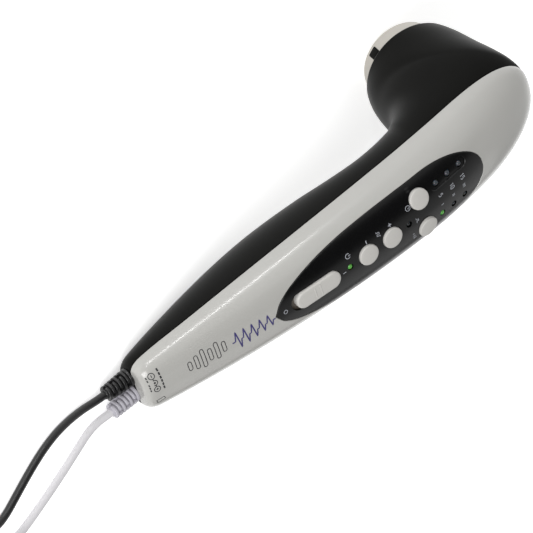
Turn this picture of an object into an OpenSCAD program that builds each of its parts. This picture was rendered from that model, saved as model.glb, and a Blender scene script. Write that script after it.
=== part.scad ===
/* [Body] */
// Length of the hand piece from the tail to the tip of the head
body_len = 219.8; // [217:0.2:222]
// Wall thickness of both shells
wall = 2.2; // [2:0.1:2.4]
// Gap between two pieces that are assembled
gap = 0.1; // [0.06:0.01:0.15]
// Angle at which the hand piece rests, head end up
rest_tilt = 16.72; // [16.6:0.02:16.8]

/* [Applicator] */
// Radius of the round rim of the lower casing
rim_r = 22.6; // [22.4:0.1:22.9]
// Radius of the metal cap
cap_r = 17.7; // [17.3:0.1:17.9]
// How far the metal cap stands out of the rim
cap_out = 10.9; // [10:0.1:11]
// Forward lean of the applicator axis
head_lean = 7.3; // [7:0.1:7.6]

/* [Controls] */
// Diameter of the round buttons
button_d = 9.3; // [8.8:0.1:9.6]
// How far a button travels
button_travel = 0.8; // [0.5:0.1:0.8]
// Length of the power slider's knob
slider_len = 22.6; // [22:0.2:24]
// Width of the power slider's knob
slider_w = 8.2; // [7.8:0.1:9]
// How far the power slider travels
slider_travel = 2; // [1.5:0.5:2.5]

/* [Leads] */
// Diameter of the power lead and of the electrode lead
lead_d = 3.5; // [3.4:0.1:3.5]

/* [Hidden] */

white = [0.86, 0.86, 0.84];
black = [0.13, 0.13, 0.13];
steel = [0.72, 0.71, 0.68];
round_fn = 48;

// --- smooth curve through a few stations [place, value] ---
function station_of(t, x, i = 0) = i >= len(t) - 2 || x < t[i + 1][0] ? i : station_of(t, x, i + 1);
function slope_at(t, i) =
    let (a = max(i - 1, 0), b = min(i + 1, len(t) - 1)) (t[b][1] - t[a][1]) / (t[b][0] - t[a][0]);
function smooth(t, x) =
    let (i = station_of(t, x), h = t[i + 1][0] - t[i][0], u = min(1, max(0, (x - t[i][0]) / h)))
    (2 * u^3 - 3 * u^2 + 1) * t[i][1] + (u^3 - 2 * u^2 + u) * h * slope_at(t, i)
    + (3 * u^2 - 2 * u^3) * t[i + 1][1] + (u^3 - u^2) * h * slope_at(t, i + 1);
function power(v, n) = sign(v) * abs(v)^n;

// --- shape of the hand piece in its own frame: X from tail to head, Z out of its face ---
tail_x = -1;
nose_x = 172;
nose_w = 21;
nose_power = 2.45;
tip_z = -7.9;
dome_x = 138;
dome_z = 19.8;
dome_power = 1.7;
rim_c = [194, 0, -52.97];
pivot_reach = 38;
pivot = rim_c - pivot_reach * [cos(head_lean), 0, sin(head_lean)];
neck_z = -23;
tip_angle = atan2(tip_z - pivot.z, body_len - pivot.x);

// Half-width at the parting line, crown height, parting height and depth of the handle's underside
width_at = [[tail_x, 9.5], [1, 11.5], [5, 12.8], [30, 15.3], [60, 17.6], [90, 19.4], [120, 20.5],
    [150, 21], [nose_x, nose_w]];
crown_at = [[tail_x, 5], [1, 7], [5, 8.2], [30, 12], [60, 15.8], [90, 18.3], [120, 19.6], [150, 19.9]];
parting_at = [[tail_x, -0.8], [10, -0.6], [30, 0.6], [60, 1.6], [90, 2.2], [120, 2], [150, 0.8],
    [180, -2.1], [body_len, tip_z]];
belly_at = [[tail_x, -11], [3, -13], [30, -19.6], [60, -24.7], [82, -26], [105, -24.4], [120, -21.9],
    [135, -20.1], [147, -20.9], [pivot.x, neck_z]];
fullness_at = [[tail_x, 2.5], [100, 2.4], [150, 2.3], [body_len, 2.1]];
// Around the neck, sections fan about the pivot: inner radius, outer radius, half-width against angle
neck_at = [[head_lean, pivot_reach - rim_r], [25, 14.7], [43, 16], [58, 20], [70, 27.2], [80, 32],
    [90, neck_z - pivot.z]];
front_at = [[head_lean, pivot_reach + rim_r], [25, 69],
    [tip_angle, norm([body_len - pivot.x, tip_z - pivot.z])]];
barrel_at = [[head_lean, rim_r], [20, 22.9], [42, 23.4], [66, 22.4], [90, 21]];
handle_power = 2.2;

function half_width(x) =
    x > nose_x
    ? nose_w * max(0, 1 - ((x - nose_x) / (body_len - nose_x))^nose_power)^(1 / nose_power)
    : smooth(width_at, x);
function parting(x) = smooth(parting_at, x);
function crown(x) =
    x > dome_x
    ? parting(x) + (dome_z - parting(x))
        * max(0, 1 - ((x - dome_x) / (body_len - dome_x))^dome_power)^(1 / dome_power)
    : smooth(crown_at, x);
// Height of the cover's face over a point, sunk by a depth
function face_z(x, y, sink = 0) =
    let (n = smooth(fullness_at, x), r = min(1, abs(y) / (half_width(x) - max(0, sink))))
    parting(x) + (crown(x) - sink - parting(x)) * (1 - r^n)^(1 / n);
function face_pitch(x) = atan2(face_z(x + 2, 0) - face_z(x - 2, 0), 4);
function face_roll(x, y) = atan2(face_z(x, y + 2) - face_z(x, y - 2), 4);

// --- closed shells swept over rows of points ---
function quad(a, b, c, d) = [[a, b, c], [a, c, d]];

// Two skins, joined along their open edges up to the seam row, by a wall at the first row,
// and at the last row by a wall or, where the rows are closed loops, by a ring
module shell(outer, inner, seam, ring) {
    rows = len(outer);
    m = len(outer[0]);
    s = rows * m;
    function at(i, j) = i * m + (i >= seam && j == m - 1 ? 0 : j);
    function wall_at(i, flip) = concat(
        [for (j = [1 : m - 2]) flip ? [at(i, 0), at(i, j + 1), at(i, j)] : [at(i, 0), at(i, j), at(i, j + 1)]],
        [for (j = [1 : m - 2]) flip ? [s + at(i, 0), s + at(i, j), s + at(i, j + 1)]
            : [s + at(i, 0), s + at(i, j + 1), s + at(i, j)]],
        flip ? quad(at(i, 0), at(i, m - 1), s + at(i, m - 1), s + at(i, 0))
            : quad(at(i, 0), s + at(i, 0), s + at(i, m - 1), at(i, m - 1)));
    polyhedron(
        points = concat([for (r = outer) each r], [for (r = inner) each r]),
        faces = concat(
            [for (i = [0 : rows - 2], j = [0 : m - 2])
                each quad(at(i, j), at(i + 1, j), at(i + 1, j + 1), at(i, j + 1))],
            [for (i = [0 : rows - 2], j = [0 : m - 2])
                each quad(s + at(i, j), s + at(i, j + 1), s + at(i + 1, j + 1), s + at(i + 1, j))],
            [for (i = [0 : min(seam, rows - 1) - 1])
                each quad(at(i, 0), s + at(i, 0), s + at(i + 1, 0), at(i + 1, 0))],
            [for (i = [0 : min(seam, rows - 1) - 1])
                each quad(at(i, m - 1), at(i + 1, m - 1), s + at(i + 1, m - 1), s + at(i, m - 1))],
            wall_at(0, false),
            ring
            ? [for (j = [0 : m - 2])
                each quad(at(rows - 1, j), s + at(rows - 1, j), s + at(rows - 1, j + 1), at(rows - 1, j + 1))]
            : wall_at(rows - 1, true)));
}

// --- top cover ---
cover_sides = 20;
tail_rows = [0, 2, 4, 7, 13];
handle_rows = 17;
nose_rows = 9;
nose_end = 0.12;
function cover_stations(inset) = concat(
    [for (x = tail_rows) tail_x + x],
    [for (i = [1 : handle_rows]) 12 + (nose_x - 12) * i / handle_rows],
    [for (i = [1 : nose_rows]) nose_x + (body_len - nose_end - inset - nose_x) * sin(90 * i / nose_rows)]);
function cover_row(x, w, top, low, n) =
    [for (j = [0 : cover_sides]) let (t = -90 + 180 * j / cover_sides)
        [x, w * power(sin(t), 2 / n), low + (top - low) * power(cos(t), 2 / n)]];
function cover_rows(inset) = [
    for (x = cover_stations(inset))
        let (u = max(0, x - nose_x) / (body_len - inset - nose_x), outer_x = x + inset * u)
        cover_row(x == tail_x ? x + inset : x, half_width(outer_x) - inset * (1 - u^4),
            crown(outer_x) - inset * (1 - u^4 * 0.9), parting(x), smooth(fullness_at, x))];

// --- control panel outline: pointed at the tail end, round at the head end ---
panel_tip = 62.3;
panel_end = 175.6;
panel_at = [[panel_tip, 1], [66, 5], [73, 8.8], [85, 12.2], [99, 14.3], [115, 15.3], [130, 15.6], [145, 15.6]];
panel_round_x = 145;
function panel_half(x) =
    x > panel_round_x
    ? 15.6 * max(0, 1 - ((x - panel_round_x) / (panel_end - panel_round_x))^2.2)^(1 / 2.2)
    : smooth(panel_at, x);
panel_stations = concat([panel_tip, 64, 66, 69, 73], [for (i = [1 : 9]) 73 + 8 * i],
    [for (i = [1 : 8]) panel_round_x + (panel_end - 0.02 - panel_round_x) * sin(90 * i / 8)]);
panel_t = 1.2;
window_ledge = 2;
panel_cols = 10;

// A slab that follows the cover's face between two depths, inside the panel's outline
module face_slab(shallow, deep, grow) {
    rows = len(panel_stations);
    m = panel_cols + 1;
    s = rows * m;
    function row(x, sink) =
        let (px = x + grow * (x - 110) / 60, h = max(0.3, panel_half(x) + grow))
        [for (j = [0 : panel_cols]) let (y = h * sin(-90 + 180 * j / panel_cols))
            [px, y, face_z(px, y) - sink]];
    edge = concat([for (i = [0 : rows - 1]) i * m], [for (j = [1 : m - 2]) (rows - 1) * m + j],
        [for (i = [rows - 1 : -1 : 0]) i * m + m - 1], [for (j = [m - 2 : -1 : 1]) j]);
    polyhedron(
        points = concat([for (x = panel_stations) each row(x, shallow)],
            [for (x = panel_stations) each row(x, deep)]),
        faces = concat(
            [for (i = [0 : rows - 2], j = [0 : m - 2])
                each quad(i * m + j, i * m + j + 1, (i + 1) * m + j + 1, (i + 1) * m + j)],
            [for (i = [0 : rows - 2], j = [0 : m - 2])
                each quad(s + i * m + j, s + (i + 1) * m + j, s + (i + 1) * m + j + 1, s + i * m + j + 1)],
            [for (k = [0 : len(edge) - 1]) let (a = edge[k], b = edge[(k + 1) % len(edge)])
                each quad(a, b, s + b, s + a)]));
}

// --- fasteners ---
casing_screw_x = [17, 52];
casing_screw_depth = 5;
casing_screw_len = 17.5;
casing_screw_r = 1.3;
casing_screw_head_r = 2.7;
board_screw_at = [[62.5, 5, -22.6], [62.5, -5, -22.6], [131, 9, -17], [131, -9, -17]];
board_z = 7.4;
board_t = 1.6;

module top_cover() {
    color(white) {
        difference() {
            shell(cover_rows(0), cover_rows(wall), 1000, false);
            face_slab(-3, panel_t, gap);
            face_slab(-2, 9, -window_ledge);
            on_face([slider_x, 0]) translate([-slider_travel / 2, 0, -9])
                stadium(flange_len + slider_travel + 1, slider_w + slider_lip * 2 + 0.8, 9);
        }
        for (x = casing_screw_x) difference() {
            translate([x, 0, parting(x)]) cylinder(r = 3, h = crown(x) - parting(x) - 1, $fn = round_fn);
            translate([x, 0, parting(x) - 1]) cylinder(r = casing_screw_r + 0.03, h = 8, $fn = round_fn);
        }
    }
}

// --- lower casing ---
casing_sides = 32;
handle_steps = 14;
fan_steps = 11;
loop_steps = 6;

// Section from the +Y edge round the underside to the -Y edge, in an upright or a fanned plane
function casing_row(a, x, w, top, bottom, full, n) =
    let (t0 = asin(min(1, (w / full)^(n / 2))),
        r = (top - bottom) / (1 + power(cos(t0), 2 / n)),
        mid = bottom + r)
    [for (j = [0 : casing_sides])
        let (t = t0 + (360 - 2 * t0) * j / casing_sides,
            y = full * power(sin(t), 2 / n),
            v = mid + r * power(cos(t), 2 / n))
        is_undef(x) ? pivot + v * [cos(a), 0, sin(a)] + [0, y, 0] : [x, y, v]];

function casing_rows(inset) =
    let (front_x = body_len - inset,
        front_a = atan2(parting(front_x) - pivot.z, front_x - pivot.x))
    concat(
    [for (x = concat([for (t = tail_rows) tail_x + t],
            [for (i = [1 : handle_steps]) 12 + (pivot.x - 4 - 12) * i / handle_steps]))
        let (w = half_width(x) - inset)
        casing_row(90, x == tail_x ? x + inset : x, w, parting(x) - gap, smooth(belly_at, x) + inset, w,
            handle_power)],
    [for (i = [0 : fan_steps])
        let (u = i / fan_steps,
            x = pivot.x + (front_x - pivot.x) * sin(90 * u),
            a = atan2(parting(x) - pivot.z, x - pivot.x),
            outer_x = x + inset * (x - pivot.x) / (front_x - pivot.x),
            w = max(0, half_width(outer_x) - inset * (1 - u^4)))
        casing_row(a, undef, w, norm([x - pivot.x, parting(x) - pivot.z]) - gap, smooth(neck_at, a) + inset,
            max(w, smooth(barrel_at, a) - inset), handle_power)],
    [for (i = [1 : loop_steps])
        let (u = i / loop_steps, a = front_a + (head_lean - front_a) * u)
        casing_row(a, undef, 0, smooth(front_at, a) - inset, smooth(neck_at, a) + inset,
            smooth(barrel_at, a) - inset, 2 + (handle_power - 2) * (1 - u))]);
casing_seam = len(tail_rows) + handle_steps + fan_steps;

relief_y = 4.4;
relief_z = -4;
relief_hole_r = 2.9;

module lower_casing() {
    color(black) difference() {
        union() {
            shell(casing_rows(0), casing_rows(wall), casing_seam, true);
            for (x = casing_screw_x) let (low = smooth(belly_at, x) + 1)
                translate([x, 0, low]) cylinder(r = 4.4, h = parting(x) - gap - low, $fn = round_fn);
            for (p = board_screw_at)
                translate([p.x, p.y, p.z]) cylinder(r = 2.2, h = board_z - p.z, $fn = round_fn);
        }
        for (x = casing_screw_x) {
            translate([x, 0, -40]) cylinder(r = casing_screw_head_r + 0.3,
                h = 40 + smooth(belly_at, x) + casing_screw_depth, $fn = round_fn);
            translate([x, 0, -30]) cylinder(r = casing_screw_r + 0.2, h = 40, $fn = round_fn);
        }
        for (p = board_screw_at)
            translate([p.x, p.y, board_z - 7]) cylinder(r = 1.02, h = 8, $fn = round_fn);
        for (s = [-1, 1]) translate([tail_x - 3, s * relief_y, relief_z])
            rotate([0, 90, 0]) cylinder(r = relief_hole_r, h = 6, $fn = round_fn);
    }
}

// --- controls on the panel ---
slider_x = 83.7;
slider_lip = 1.1;
// The flange covers its slot at both ends of the travel
flange_len = slider_len + 2 * slider_travel + 1;
minus_at = [110.2, 0];
plus_at = [123, 0];
time_at = [140.6, 7.8];
mode_at = [140.6, -7.8];
button_places = [minus_at, plus_at, time_at, mode_at];
power_light_at = [100.7, 0];
output_light_at = [132.3, 0];
time_lights_at = [[151, 8], [157.8, 8], [164.6, 7.8]];
level_lights_at = [[149.4, -7.2], [156, -7.4], [162.6, -7.4]];
light_r = 1.3;
lights_at = concat([power_light_at, output_light_at], time_lights_at, level_lights_at);

// Moves children to the cover's face over a point, square to the face
module on_face(p) {
    translate([p.x, p.y, face_z(p.x, p.y)])
        rotate([face_roll(p.x, p.y), -face_pitch(p.x), 0]) children();
}

module stadium(length, width, height) {
    linear_extrude(height) union() {
        square([length - width, width], center = true);
        for (s = [-1, 1]) translate([s * (length - width) / 2, 0]) circle(d = width, $fn = round_fn);
    }
}

groove_len = 20;
groove_w = 4.6;
module control_panel() {
    color(black) difference() {
        face_slab(0, panel_t - gap, 0);
        for (p = button_places) on_face(p) translate([0, 0, -5])
            cylinder(d = button_d + 0.3, h = 10, $fn = round_fn);
        for (p = lights_at) translate([p.x, p.y, 8]) cylinder(r = light_r + 0.15, h = 20, $fn = round_fn);
        on_face([slider_x, 0]) translate([-slider_travel / 2, 0, -5])
            stadium(slider_len + slider_travel + 0.6, slider_w + 0.4, 10);
        on_face([time_lights_at[1].x, time_lights_at[1].y]) translate([0, 0, -0.6])
            stadium(groove_len, groove_w, 5);
    }
}

// A round button: crowned cap, flange under the panel and a stem
flange_z = -panel_t - 0.6;
module button(p, stem_end) {
    r = button_d / 2;
    color(white) on_face(p) rotate_extrude($fn = round_fn)
        polygon(concat([[0, stem_end], [1.4, stem_end], [1.4, flange_z - 0.8], [r + 0.7, flange_z - 0.8],
            [r + 0.7, flange_z], [r, flange_z]],
            [for (t = [0 : 15 : 90]) [r - 0.6 + 0.6 * cos(t), 0.7 + 0.5 * sin(t)]],
            [[r * 0.5, 1.32], [0, 1.36]]));
}
module minus_button() button(minus_at, switch_top_gap(minus_at));
module plus_button() button(plus_at, switch_top_gap(plus_at));
module time_button() button(time_at, switch_top_gap(time_at));
module mode_button() button(mode_at, switch_top_gap(mode_at));

// Where a button's axis meets the height of the switch tops, and the stem's end above it
switch_h = 3.4;
switch_top = board_z + board_t + switch_h;
function axis_drop(p) = (face_z(p.x, p.y) - switch_top)
    / (cos(face_roll(p.x, p.y)) * cos(face_pitch(p.x)));
function switch_top_gap(p) = -(axis_drop(p) - button_travel - 0.5);
function switch_place(p) =
    [p.x + axis_drop(p) * sin(face_pitch(p.x)), p.y + axis_drop(p) * sin(face_roll(p.x, p.y))];

knob_h = 1.2;
module power_slider() {
    color(white) on_face([slider_x, 0]) {
        translate([0, 0, flange_z - 0.05]) stadium(slider_len, slider_w, knob_h - flange_z - 0.5);
        translate([0, 0, knob_h - 0.6]) stadium(slider_len - 0.8, slider_w - 0.8, 0.6);
        translate([0, 0, flange_z - 1]) stadium(flange_len, slider_w + 2 * slider_lip, 1);
    }
}
lever_w = 2;
lever_end = -5.6;
module slider_lever() {
    color([0.2, 0.2, 0.2]) on_face([slider_x, 0]) translate([-lever_w / 2, -lever_w / 2, lever_end])
        cube([lever_w, lever_w, flange_z - 1 - lever_end]);
}

// --- lights: a dome on a straight body, with two legs down to the board ---
light_body = 3.6;
module light(p, rise) {
    top = face_z(p.x, p.y) + rise - light_r;
    translate([p.x, p.y, top]) sphere(r = light_r, $fn = 24);
    translate([p.x, p.y, top - light_body]) cylinder(r = light_r, h = light_body, $fn = 24);
    for (s = [-1, 1]) translate([p.x + s * 0.7 - 0.2, p.y - 0.2, board_z + board_t])
        cube([0.4, 0.4, top - light_body - board_z - board_t + 0.2]);
}
module power_light() color([0.3, 0.7, 0.3]) light(power_light_at, 0.2);
module output_light() color([0.2, 0.2, 0.2]) light(output_light_at, -0.3);
module time_lights() color([0.35, 0.38, 0.4]) for (p = time_lights_at) light(p, 0.1);
module level_lights() color([0.2, 0.2, 0.2]) for (i = [1, 2]) light(level_lights_at[i], -0.3);
module level_light_on() color([0.3, 0.7, 0.3]) light(level_lights_at[0], 0.1);

// --- circuit board and what it carries ---
board_x0 = 59;
board_x1 = 170;
board_half = 12.5;
module main_board() {
    color([0.1, 0.35, 0.2]) difference() {
        translate([board_x0, -board_half, board_z]) cube([board_x1 - board_x0, 2 * board_half, board_t]);
        for (p = board_screw_at)
            translate([p.x, p.y, board_z - 1]) cylinder(r = 1.3, h = 4, $fn = round_fn);
    }
}
switch_len = 13;
switch_w = 6.4;
switch_body_h = 4;
module slide_switch() {
    color([0.7, 0.7, 0.7]) difference() {
        translate([slider_x - 2 - switch_len / 2, -switch_w / 2, board_z + board_t])
            cube([switch_len, switch_w, switch_body_h]);
        translate([slider_x - 2 - 4.6, -1.4, board_z + board_t + 1.2]) cube([8.2, 2.8, 4]);
    }
}
module button_switches() {
    color([0.25, 0.25, 0.27]) for (p = button_places) let (q = switch_place(p)) {
        translate([q.x - 3, q.y - 3, board_z + board_t]) cube([6, 6, switch_h - 0.6]);
        translate([q.x, q.y, board_z + board_t + switch_h - 0.7]) cylinder(r = 1.7, h = 0.7, $fn = 32);
    }
}
module control_chip() {
    color([0.15, 0.15, 0.16]) translate([150, -4, board_z - 2.2]) {
        cube([12, 8, 2.2]);
        for (s = [0, 1], i = [0 : 6]) translate([0.6 + 1.7 * i, s * 9 - 1, 1.6]) cube([0.6, 1, 0.6]);
    }
}
module transformer() {
    color([0.35, 0.33, 0.3]) translate([78, 0, board_z]) {
        translate([-9, -8, -3]) cube([18, 16, 3]);
        translate([-9, -8, -15]) cube([18, 16, 3]);
        for (s = [-1, 1]) translate([-9, s * 6.5 - 1.5, -12]) cube([18, 3, 9]);
        translate([0, 0, -12]) cylinder(r = 4.4, h = 9, $fn = round_fn);
    }
}
module output_coil() {
    color([0.7, 0.42, 0.22]) translate([98, 0, board_z]) rotate([180, 0, 0]) difference() {
        cylinder(r = 6, h = 9, $fn = round_fn);
        translate([0, 0, 1]) cylinder(r = 2.2, h = 9, $fn = round_fn);
    }
}
module capacitors() {
    color([0.2, 0.25, 0.4]) for (p = [[110, -5, 4, 13], [110, 5, 4, 13], [120, 0, 3.2, 11]])
        translate([p.x, p.y, board_z - p[3]]) cylinder(r = p.z, h = p[3], $fn = round_fn);
}
module board_screws() {
    color(steel) for (p = board_screw_at) translate([p.x, p.y, board_z + board_t]) {
        translate([0, 0, -7]) cylinder(r = 1, h = 7.2, $fn = round_fn);
        cylinder(r = 1.9, h = 1.3, $fn = round_fn);
    }
}
module casing_screws() {
    color(steel) for (x = casing_screw_x)
        translate([x, 0, smooth(belly_at, x) + casing_screw_depth - 2]) difference() {
            union() {
                cylinder(r = casing_screw_head_r, h = 2, $fn = round_fn);
                cylinder(r = casing_screw_r, h = 2 + parting(x) - smooth(belly_at, x) - casing_screw_depth
                    + 6, $fn = round_fn);
            }
            for (a = [0, 90]) rotate([0, 0, a]) translate([-1.6, -0.4, -0.1]) cube([3.2, 0.8, 1.1]);
        }
}

// --- applicator, about the axis of the round rim: local Z goes up into the head ---
module on_rim() translate(rim_c) rotate([0, -head_lean, 0]) children();

cap_wall = 1.4;
cap_edge = 1.6;
cap_depth = 7;
cap_flange_r = cap_r + 1.8;
module applicator_cap() {
    color(steel) on_rim() rotate_extrude($fn = 96) polygon(concat(
        [[0, -cap_out]],
        [for (t = [0 : 15 : 90]) [cap_r - cap_edge + cap_edge * sin(t), -cap_out + cap_edge * (1 - cos(t))]],
        [[cap_r, cap_depth - 1.4], [cap_flange_r, cap_depth - 1.4], [cap_flange_r, cap_depth],
            [cap_r - cap_wall, cap_depth], [cap_r - cap_wall, -cap_out + cap_wall + 0.4],
            [cap_r - cap_wall - 0.4, -cap_out + cap_wall], [0, -cap_out + cap_wall]]));
}
insert_w = 4.6;
insert_h = 5;
insert_turn = 130;
insert_z = -8.6;
module cap_insert() {
    color(black) on_rim() rotate([0, 0, insert_turn]) translate([cap_r, -insert_w / 2, insert_z])
        cube([0.25, insert_w, insert_h]);
}
module insulating_ring() {
    color(black) on_rim() rotate_extrude($fn = 96) polygon([[cap_r + gap, 0], [rim_r - wall - 0.25, 0],
        [rim_r - wall - 0.25, cap_depth - 1.5], [cap_r + 1.9, cap_depth - 1.5],
        [cap_r + 1.9, cap_depth - 3.5], [cap_r + gap, cap_depth - 3.5]]);
}
module seal_ring() {
    color([0.2, 0.2, 0.22]) on_rim() rotate_extrude($fn = 64)
        translate([cap_r + 0.95, cap_depth - 2.45]) circle(r = 0.9, $fn = 24);
}
piezo_t = 2.1;
piezo_z = -cap_out + cap_wall;
module piezo_disc() {
    color([0.8, 0.78, 0.7]) on_rim() translate([0, 0, piezo_z])
        cylinder(r = 12.5, h = piezo_t, $fn = 64);
}
holder_z = piezo_z + piezo_t;
module transducer_holder() {
    color([0.85, 0.85, 0.8]) on_rim() translate([0, 0, holder_z]) rotate_extrude($fn = 64)
        polygon([[9, 0], [15, 0], [15, 9], [2.5, 9], [2.5, 7.5], [9, 7.5]]);
}
spring_wire = 0.5;
spring_r = 5;
spring_turns = 4;
function helix_point(t) = [spring_r * cos(360 * spring_turns * t), spring_r * sin(360 * spring_turns * t),
    holder_z + spring_wire / 2 + 0.02 + (7.5 - spring_wire - 0.04) * t];
module contact_spring() {
    color(steel) on_rim() sweep([for (i = [0 : 48]) helix_point(i / 48)], spring_wire / 2, 6);
}

// --- round bars swept along points ---
function unit(v) = v / norm(v);
function tangent(p, i) = unit(p[min(i + 1, len(p) - 1)] - p[max(i - 1, 0)]);
function across(t) = unit(cross(t, abs(t.z) < 0.9 ? [0, 0, 1] : [1, 0, 0]));
module sweep(path, r, sides) {
    k = len(path);
    polyhedron(
        points = [for (i = [0 : k - 1]) let (t = tangent(path, i), u = across(t), v = cross(u, t))
            for (j = [0 : sides - 1]) let (a = 360 * j / sides) path[i] + r * (cos(a) * u + sin(a) * v)],
        faces = concat(
            [for (i = [0 : k - 2], j = [0 : sides - 1]) let (n = (j + 1) % sides)
                each quad(i * sides + j, (i + 1) * sides + j, (i + 1) * sides + n, i * sides + n)],
            [[for (j = [0 : sides - 1]) j]],
            [[for (j = [sides - 1 : -1 : 0]) (k - 1) * sides + j]]));
}
// Smooth curve through hand-placed points, with a few steps between each pair
function spline(p, i, u) =
    let (a = p[max(i - 1, 0)], b = p[i], c = p[i + 1], d = p[min(i + 2, len(p) - 1)])
    0.5 * (2 * b + (c - a) * u + (2 * a - 5 * b + 4 * c - d) * u^2 + (3 * b - a - 3 * c + d) * u^3);
function through(p, steps) =
    concat([for (i = [0 : len(p) - 2], k = [0 : steps - 1]) spline(p, i, k / steps)], [p[len(p) - 1]]);

wire_r = 0.6;
module transducer_wires() {
    color([0.7, 0.2, 0.2]) for (s = [-1, 1])
        sweep(through([[191, s * 1.5, -51], [188, s * 1.5, -38], [178, s * 3, -20], [171, s * 6, -4],
            [165, s * 6, board_z - 0.7]], 3), wire_r, 8);
}
module supply_wires() {
    color([0.25, 0.25, 0.3]) for (s = [-1, 1])
        sweep(through([[5.2, s * relief_y, relief_z], [17, s * 7, -4], [35, s * 7, -3], [52, s * 8, 0],
            [64, s * 9.5, board_z - 0.7]], 3), wire_r, 8);
}

// --- strain reliefs: plug in the wall, collar outside, ribs that grow smaller ---
relief_len = 13.6;
relief_ribs = 6;
relief_bore = lead_d / 2;
module strain_relief(s) {
    pitch = (relief_len - 2) / relief_ribs;
    translate([tail_x, s * relief_y, relief_z]) rotate([0, -90, 0]) {
        rotate_extrude($fn = round_fn) polygon([[0, -6], [3.8, -6], [3.8, -wall - 0.05], [2.85, -wall - 0.05],
            [2.85, 0.05], [4.2, 0.05], [4.2, 1.4], [0, 1.4]]);
        rotate([s * -3, 3.4, 0]) rotate_extrude($fn = round_fn) polygon(concat(
            [[0, 1.3], [3.2, 1.3]],
            [for (i = [0 : relief_ribs - 1]) let (z = 2 + pitch * i, r = 4.15 - 0.6 * i / (relief_ribs - 1))
                each [[r - 1.1, z], [r, z + 0.35], [r, z + 1.25], [r - 1.1, z + 1.6]]],
            [[2.6, relief_len], [0, relief_len]]));
    }
}
module power_strain_relief() color(black) strain_relief(1);
module electrode_strain_relief() color([0.75, 0.75, 0.76]) strain_relief(-1);

// --- the leads as they lie, in the frame of the surface that they lie on ---
// Route of each lead from its strain relief to its coil, then from the coil to its plug
power_route = [[-114, 5, 4.8], [-117.5, 5.2, 4], [-122, 5.8, 3], [-128, 7.2, 2.1], [-136, 9, 1.8],
    [-144, 10.1, 1.75], [-151, 10.2, 1.75], [-158, 9.5, 1.75], [-165, 8.1, 1.75], [-172, 6.3, 1.75],
    [-179, 4.3, 1.75], [-186, 2.3, 1.75], [-192, 1.6, 1.75], [-199, 2.6, 1.75], [-207, 4.8, 1.75],
    [-216, 6.8, 1.75], [-226, 8.2, 1.75], [-236, 9.4, 1.8], [-246, 10.8, 2.1], [-254, 12.2, 2.4],
    [-261, 13.3, 2.55]];
power_end_route = [[-247, -2.5, 13.05], [-250.5, 2.5, 13.8], [-255.5, 6, 15.2], [-261.5, 7, 16.8],
    [-267.5, 5, 18.3], [-272, 1, 19.4], [-274.3, -3.5, 19.9], [-274.5, -8, 20]];
electrode_route = [[-114, -5, 4.8], [-117.5, -5, 4], [-122, -4.6, 3], [-126, -4.6, 2.3], [-131, -5.2, 1.85],
    [-139, -6.8, 1.75], [-149, -8.6, 1.75], [-160, -10.3, 1.75], [-171, -11.6, 1.75], [-177, -12.2, 1.75],
    [-182, -12.5, 1.75], [-188, -11.9, 1.9], [-194, -9.5, 2.3], [-201, -4, 2.55]];
electrode_end_route = [[-230.5, -14, 9.6], [-232.5, -22, 10.3], [-232, -26, 11.2], [-229, -30.5, 12.4],
    [-224.5, -33.2, 13.6], [-220.5, -34, 14.3], [-216, -34, 14.7]];
// Each coil: its centre, the radius of its middle turns, and how many turns lie beside and on each other
power_coil_at = [-265, -9];
power_coil_r = 19.15;
electrode_coil_at = [-216, -22];
electrode_coil_r = 20;
coil_wide = 3;
power_coil_high = 4;
electrode_coil_high = 3;
tie_t = 0.8;
tie_angle = 20;

module lead(route) sweep(route, lead_d / 2, 8);
module lead_coil(at, r, high) {
    w = coil_wide * lead_d / 2;
    h = high * lead_d;
    c = lead_d / 3;
    translate([at.x, at.y, tie_t]) rotate_extrude($fn = 64)
        polygon([[r - w, c], [r - w + c, 0], [r + w - c, 0], [r + w, c], [r + w, h - c], [r + w - c, h],
            [r - w + c, h], [r - w, h - c]]);
}
module coil_tie(at, r, high, turn) {
    w = coil_wide * lead_d / 2;
    h = high * lead_d;
    translate([at.x, at.y, 0]) rotate([0, 0, turn]) rotate_extrude(angle = tie_angle, $fn = 64) difference() {
        translate([r - w - tie_t, 0]) square([2 * (w + tie_t), h + 2 * tie_t]);
        translate([r - w, tie_t]) square([2 * w, h]);
    }
}
module power_lead() color(black) lead(power_route);
module power_lead_coil() color(black) lead_coil(power_coil_at, power_coil_r, power_coil_high);
module power_lead_end() color(black) lead(power_end_route);
module power_lead_tie() color(black) coil_tie(power_coil_at, power_coil_r, power_coil_high, 310);
module electrode_lead() color(white) lead(electrode_route);
module electrode_lead_coil() color(white) lead_coil(electrode_coil_at, electrode_coil_r, electrode_coil_high);
module electrode_lead_end() color(white) lead(electrode_end_route);
module electrode_lead_tie() color(black) coil_tie(electrode_coil_at, electrode_coil_r, electrode_coil_high, 100);

// Moves children to the end of a lead, local Z pointing on along it
module at_end(route, turn) translate(route[len(route) - 1]) rotate([0, 0, turn]) rotate([0, 90, 0]) children();

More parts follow.
